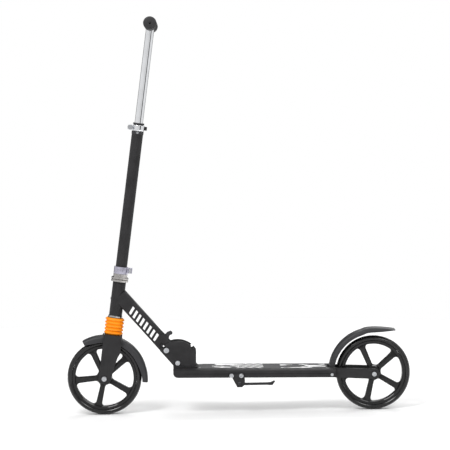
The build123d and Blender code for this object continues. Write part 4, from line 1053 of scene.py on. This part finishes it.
class SCOOTER_OT_mudguards(bpy.types.Operator):
    """Build the front mudguard and the rear brake fender"""

    bl_idname = "scooter.mudguards"
    bl_label = "Mudguards"

    def execute(self, context):
        self.front_mudguard()
        self.rear_fender()
        return {"FINISHED"}

    def front_mudguard(self):
        """A guard in two parts, joined under the fork's crown and held by a tab."""
        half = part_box("front_mudguard")[1].y
        nose = front_arc(
            60.0, 90.2, 14,
            lambda share: 115.0,
            lambda share: 13.0 + 6.0 * min(1.0, share * 2.2),
        )
        tail = front_arc(
            114.0, 187.0, 26,
            lambda share: 115.0 + 2.5 * rise(share, 0.7),
            lambda share: 19.0 - 4.0 * rise(share, 0.6),
        )
        saddle = front_arc(86.0, 118.0, 8, lambda share: 106.6, lambda share: 11.6)
        pieces = [
            guard_shell("guard_nose", nose, half, 2.2 * MM),
            guard_shell("guard_tail", tail, half, 2.2 * MM),
            guard_shell("guard_saddle", saddle, half - 0.2 * MM, 2.0 * MM),
            self.mounting_tab(),
        ]
        mesh = joined("front_mudguard_finished", pieces)
        piece = add_object(
            "front_mudguard_finished", mesh, "black_plastic", "front_fork", 50.0
        )
        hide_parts("front_mudguard")

    def mounting_tab(self):
        """The tab that the mudguard's screws hold against the fork's crown."""
        crown_high = along("fork", AXIS, AXIS_FOOT)[1]
        screws_low, screws_high, _ = along("mudguard_screws", AXIS, AXIS_FOOT)
        middle = (screws_low + screws_high) / 2
        crown_front = max(
            (vertex.co - AXIS_FOOT).dot(AXIS_FORE) for vertex in NODES["fork"].data.vertices
            if (vertex.co - AXIS_FOOT).dot(AXIS) > crown_high - 4 * MM
        )
        spot = AXIS_FOOT + AXIS_FORE * (crown_front + 1.2 * MM) + AXIS * (middle - 0.6 * MM)
        turn = Matrix((AXIS_FORE, LEFT, AXIS)).transposed().to_4x4()
        tab = bmesh.new()
        bmesh.ops.create_cube(tab, size=1.0)
        bmesh.ops.scale(tab, vec=(1.9 * MM, 19 * MM, 12 * MM), verts=tab.verts)
        bmesh.ops.transform(tab, matrix=Matrix.Translation(spot) @ turn, verts=tab.verts)
        rounding = {"width": 0.6 * MM, "segments": 3}
        return baked(mesh_from("guard_tab", tab), [("BEVEL", rounding)], "guard_tab")

    def rear_fender(self):
        """A moulded fender that hangs on its pivot and sweeps up at the tip."""
        stations = [
            arc_station(REAR_HUB, angle, FENDER_RADIUS, FENDER_DEPTH)
            for angle in FENDER_ANGLES
        ]
        for index, (x, z, depth) in enumerate(FENDER_TIP):
            before = FENDER_TIP[max(0, index - 1)]
            after = FENDER_TIP[min(len(FENDER_TIP) - 1, index + 1)]
            run = Vector((after[0] - before[0], 0, after[1] - before[1])).normalized()
            outward = Vector((run.z, 0, -run.x))
            if outward.z < 0:
                outward = -outward
            point = REAR_HUB + Vector((x * MM, 0, z * MM))
            stations.append((point, outward, depth * MM))
        meshes = [guard_shell("fender_shell", stations, FENDER_HALF * MM, 2.8 * MM)]
        barrel = [(radius * MM, station * MM) for radius, station in FENDER_BARREL]
        for side in (-1, 1):
            meshes.append(lathe("fender_barrel", barrel, BRAKE_PIVOT, LEFT * side, 48))
        mesh = joined("rear_fender_finished", meshes)
        piece = add_object("rear_fender_finished", mesh, "black_plastic", "fender", 50.0)
        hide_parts("rear_fender")


class SCOOTER_OT_markings(bpy.types.Operator):
    """Add the plain printed bars on both sides of the neck"""

    bl_idname = "scooter.markings"
    bl_label = "Markings"

    def execute(self, context):
        sizes = context.scene.scooter_sizes
        low, high, _ = along("down_tube", NECK, FOLD)
        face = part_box("down_tube")[1].y
        wide, tall, tilt = 7 * MM, 20 * MM, 6 * MM
        above_middle = 2.5 * MM
        clear, thick = 0.02 * MM, 0.12 * MM
        first, last = low + 5 * MM, high - 13 * MM
        pitch = (last - first) / (sizes.decal_bars - 1)
        corners = [((x * wide + y * tilt) / 2, y * tall / 2) for x, y in CORNERS]
        for side, label in ((1, "left"), (-1, "right")):
            level = LEFT * (side * (face + clear))
            base = [NECK * x + NECK_UP * (y + above_middle) + level for x, y in corners]
            top = [point + LEFT * (side * thick) for point in base]
            mesh = repeated(
                "neck_bars_" + label,
                mesh_of("neck_bar", base + top, BLOCK_FACES),
                "marking",
                rows=sizes.decal_bars,
                step=NECK * pitch,
                centre=FOLD + NECK * first,
                polar=False,
            )
            add_object("neck_bars_" + label, mesh, "marking", "neck", 30.0)
        return {"FINISHED"}


# The studio: lights as (name, place, width, power in watts), the point they aim at,
# and the room's brightness as (share of a turn round it, level).
LIGHTS = (
    ("key", (2.0, 3.4, 4.0), 1.7, 125.0),
    ("fill", (-2.2, 3.2, 3.4), 1.7, 62.0),
    ("back", (-0.8, -3.2, 3.6), 3.2, 90.0),
)
LIGHT_TARGET = Vector((0, 0, 0.35))
ROOM = (
    (0.0, 0.9), (0.11, 0.9), (0.14, 0.06), (0.18, 0.08), (0.22, 0.8),
    (0.26, 0.05), (0.36, 0.06), (0.41, 0.9), (0.70, 0.85), (0.76, 0.7),
    (0.82, 0.9), (0.84, 0.07), (0.88, 0.07), (0.91, 0.9), (1.0, 0.9),
)
FLOOR_RADIUS = 2.1

# The camera's yaw, pitch and roll, its place in metres, and its lens in millimetres.
CAMERA_ANGLES = (radians(-1.244), radians(4.055), radians(-0.925))
CAMERA_PLACE = (0.1491, 5.4319, 0.8902)
CAMERA_LENS = 162.44


class SCOOTER_OT_stage(bpy.types.Operator):
    """Set up the pale floor, the soft lights and the camera"""

    bl_idname = "scooter.stage"
    bl_label = "Stage"

    def execute(self, context):
        scene = context.scene
        scene.view_settings.view_transform = "Standard"
        self.studio(scene)
        self.floor()
        for label, spot, size, power in LIGHTS:
            light = bpy.data.lights.new(label, "AREA")
            light.size = size
            light.energy = power
            lamp = linked(label, light)
            lamp.location = spot
            aim = LIGHT_TARGET - Vector(spot)
            lamp.rotation_euler = aim.to_track_quat("-Z", "Y").to_euler()
        self.camera(scene)
        return {"FINISHED"}

    def floor(self):
        """A pale matt disc under the wheels."""
        build = bmesh.new()
        bmesh.ops.create_circle(build, cap_ends=True, segments=96, radius=FLOOR_RADIUS)
        mesh = mesh_from("floor", build)
        finish = Finish("pale_floor", specular=0.0)
        finish.colour(
            finish.mix(finish.noise(3.0), (0.93, 0.93, 0.93), (0.95, 0.95, 0.95))
        )
        finish.rough(finish.noise(5.0), 0.9, 1.0)
        mesh.materials.append(finish.material)
        linked("floor", mesh)

    def studio(self, scene):
        """A pale room whose darker sides give polished parts something to reflect."""
        world = bpy.data.worlds.new("studio")
        world.use_nodes = True
        tree = world.node_tree
        background = tree.nodes["Background"]
        background.inputs["Strength"].default_value = 1.0
        room = tree.nodes.new("ShaderNodeTexCoord")
        # The share of a turn round the room, from behind the scooter's tail.
        around = tree.nodes.new("ShaderNodeTexGradient")
        around.gradient_type = "RADIAL"
        tree.links.new(room.outputs["Generated"], around.inputs["Vector"])
        ramp = tree.nodes.new("ShaderNodeValToRGB")
        ramp.color_ramp.interpolation = "EASE"
        elements = ramp.color_ramp.elements
        while len(elements) < len(ROOM):
            elements.new(0.5)
        for element, (place, level) in zip(elements, ROOM):
            element.position = place
            element.color = (level, level, level, 1.0)
        tree.links.new(around.outputs["Fac"], ramp.inputs["Fac"])
        # The camera itself sees plain white behind the floor.
        path = tree.nodes.new("ShaderNodeLightPath")
        seen = tree.nodes.new("ShaderNodeMix")
        seen.data_type = "RGBA"
        seen.inputs[MIX_SECOND].default_value = (1.0, 1.0, 1.0, 1.0)
        tree.links.new(path.outputs["Is Camera Ray"], seen.inputs[MIX_FACTOR])
        tree.links.new(ramp.outputs["Color"], seen.inputs[MIX_FIRST])
        tree.links.new(seen.outputs[MIX_RESULT], background.inputs["Color"])
        scene.world = world

    def camera(self, scene):
        """A long lens from the left side, a little above the deck."""
        yaw, pitch, roll = CAMERA_ANGLES
        ahead = Vector((sin(yaw) * cos(pitch), -cos(yaw) * cos(pitch), -sin(pitch)))
        right = ahead.cross(Vector((0, 0, 1))).normalized()
        up = right.cross(ahead)
        right, up = right * cos(roll) + up * sin(roll), up * cos(roll) - right * sin(roll)
        data = bpy.data.cameras.new("camera")
        data.sensor_width = 36.0
        data.lens = CAMERA_LENS
        data.clip_end = 100.0
        camera = linked("camera", data)
        turn = Matrix((right, up, -ahead)).transposed().to_4x4()
        camera.matrix_world = Matrix.Translation(CAMERA_PLACE) @ turn
        scene.camera = camera


STEPS = (
    SCOOTER_OT_finishes,
    SCOOTER_OT_castings,
    SCOOTER_OT_fasteners,
    SCOOTER_OT_wheels,
    SCOOTER_OT_gaiter,
    SCOOTER_OT_grips,
    SCOOTER_OT_mudguards,
    SCOOTER_OT_markings,
    SCOOTER_OT_stage,
)


class SCOOTER_PT_panel(bpy.types.Panel):
    """The scooter's pieces, sizes and colours"""

    bl_label = "Kick Scooter"
    bl_idname = "SCOOTER_PT_panel"
    bl_space_type = "VIEW_3D"
    bl_region_type = "UI"
    bl_category = "Scooter"

    def draw(self, context):
        for group in (context.scene.scooter_sizes, context.scene.scooter_colours):
            for key in group.__annotations__:
                self.layout.prop(group, key)
        for step in STEPS:
            self.layout.operator(step.bl_idname)


CLASSES = (ScooterSizes, ScooterColours, *STEPS, SCOOTER_PT_panel)


def register():
    """Register the classes and hang the settings on the scene."""
    for item in CLASSES:
        bpy.utils.register_class(item)
    bpy.types.Scene.scooter_sizes = PointerProperty(type=ScooterSizes)
    bpy.types.Scene.scooter_colours = PointerProperty(type=ScooterColours)


def unregister():
    """Take the settings off the scene and the classes out of the register."""
    del bpy.types.Scene.scooter_colours
    del bpy.types.Scene.scooter_sizes
    for item in reversed(CLASSES):
        bpy.utils.unregister_class(item)


def main():
    """Build the whole scooter."""
    register()
    for step in STEPS:
        group, call = step.bl_idname.split(".")
        getattr(getattr(bpy.ops, group), call)()


if __name__ == "__main__":
    main()
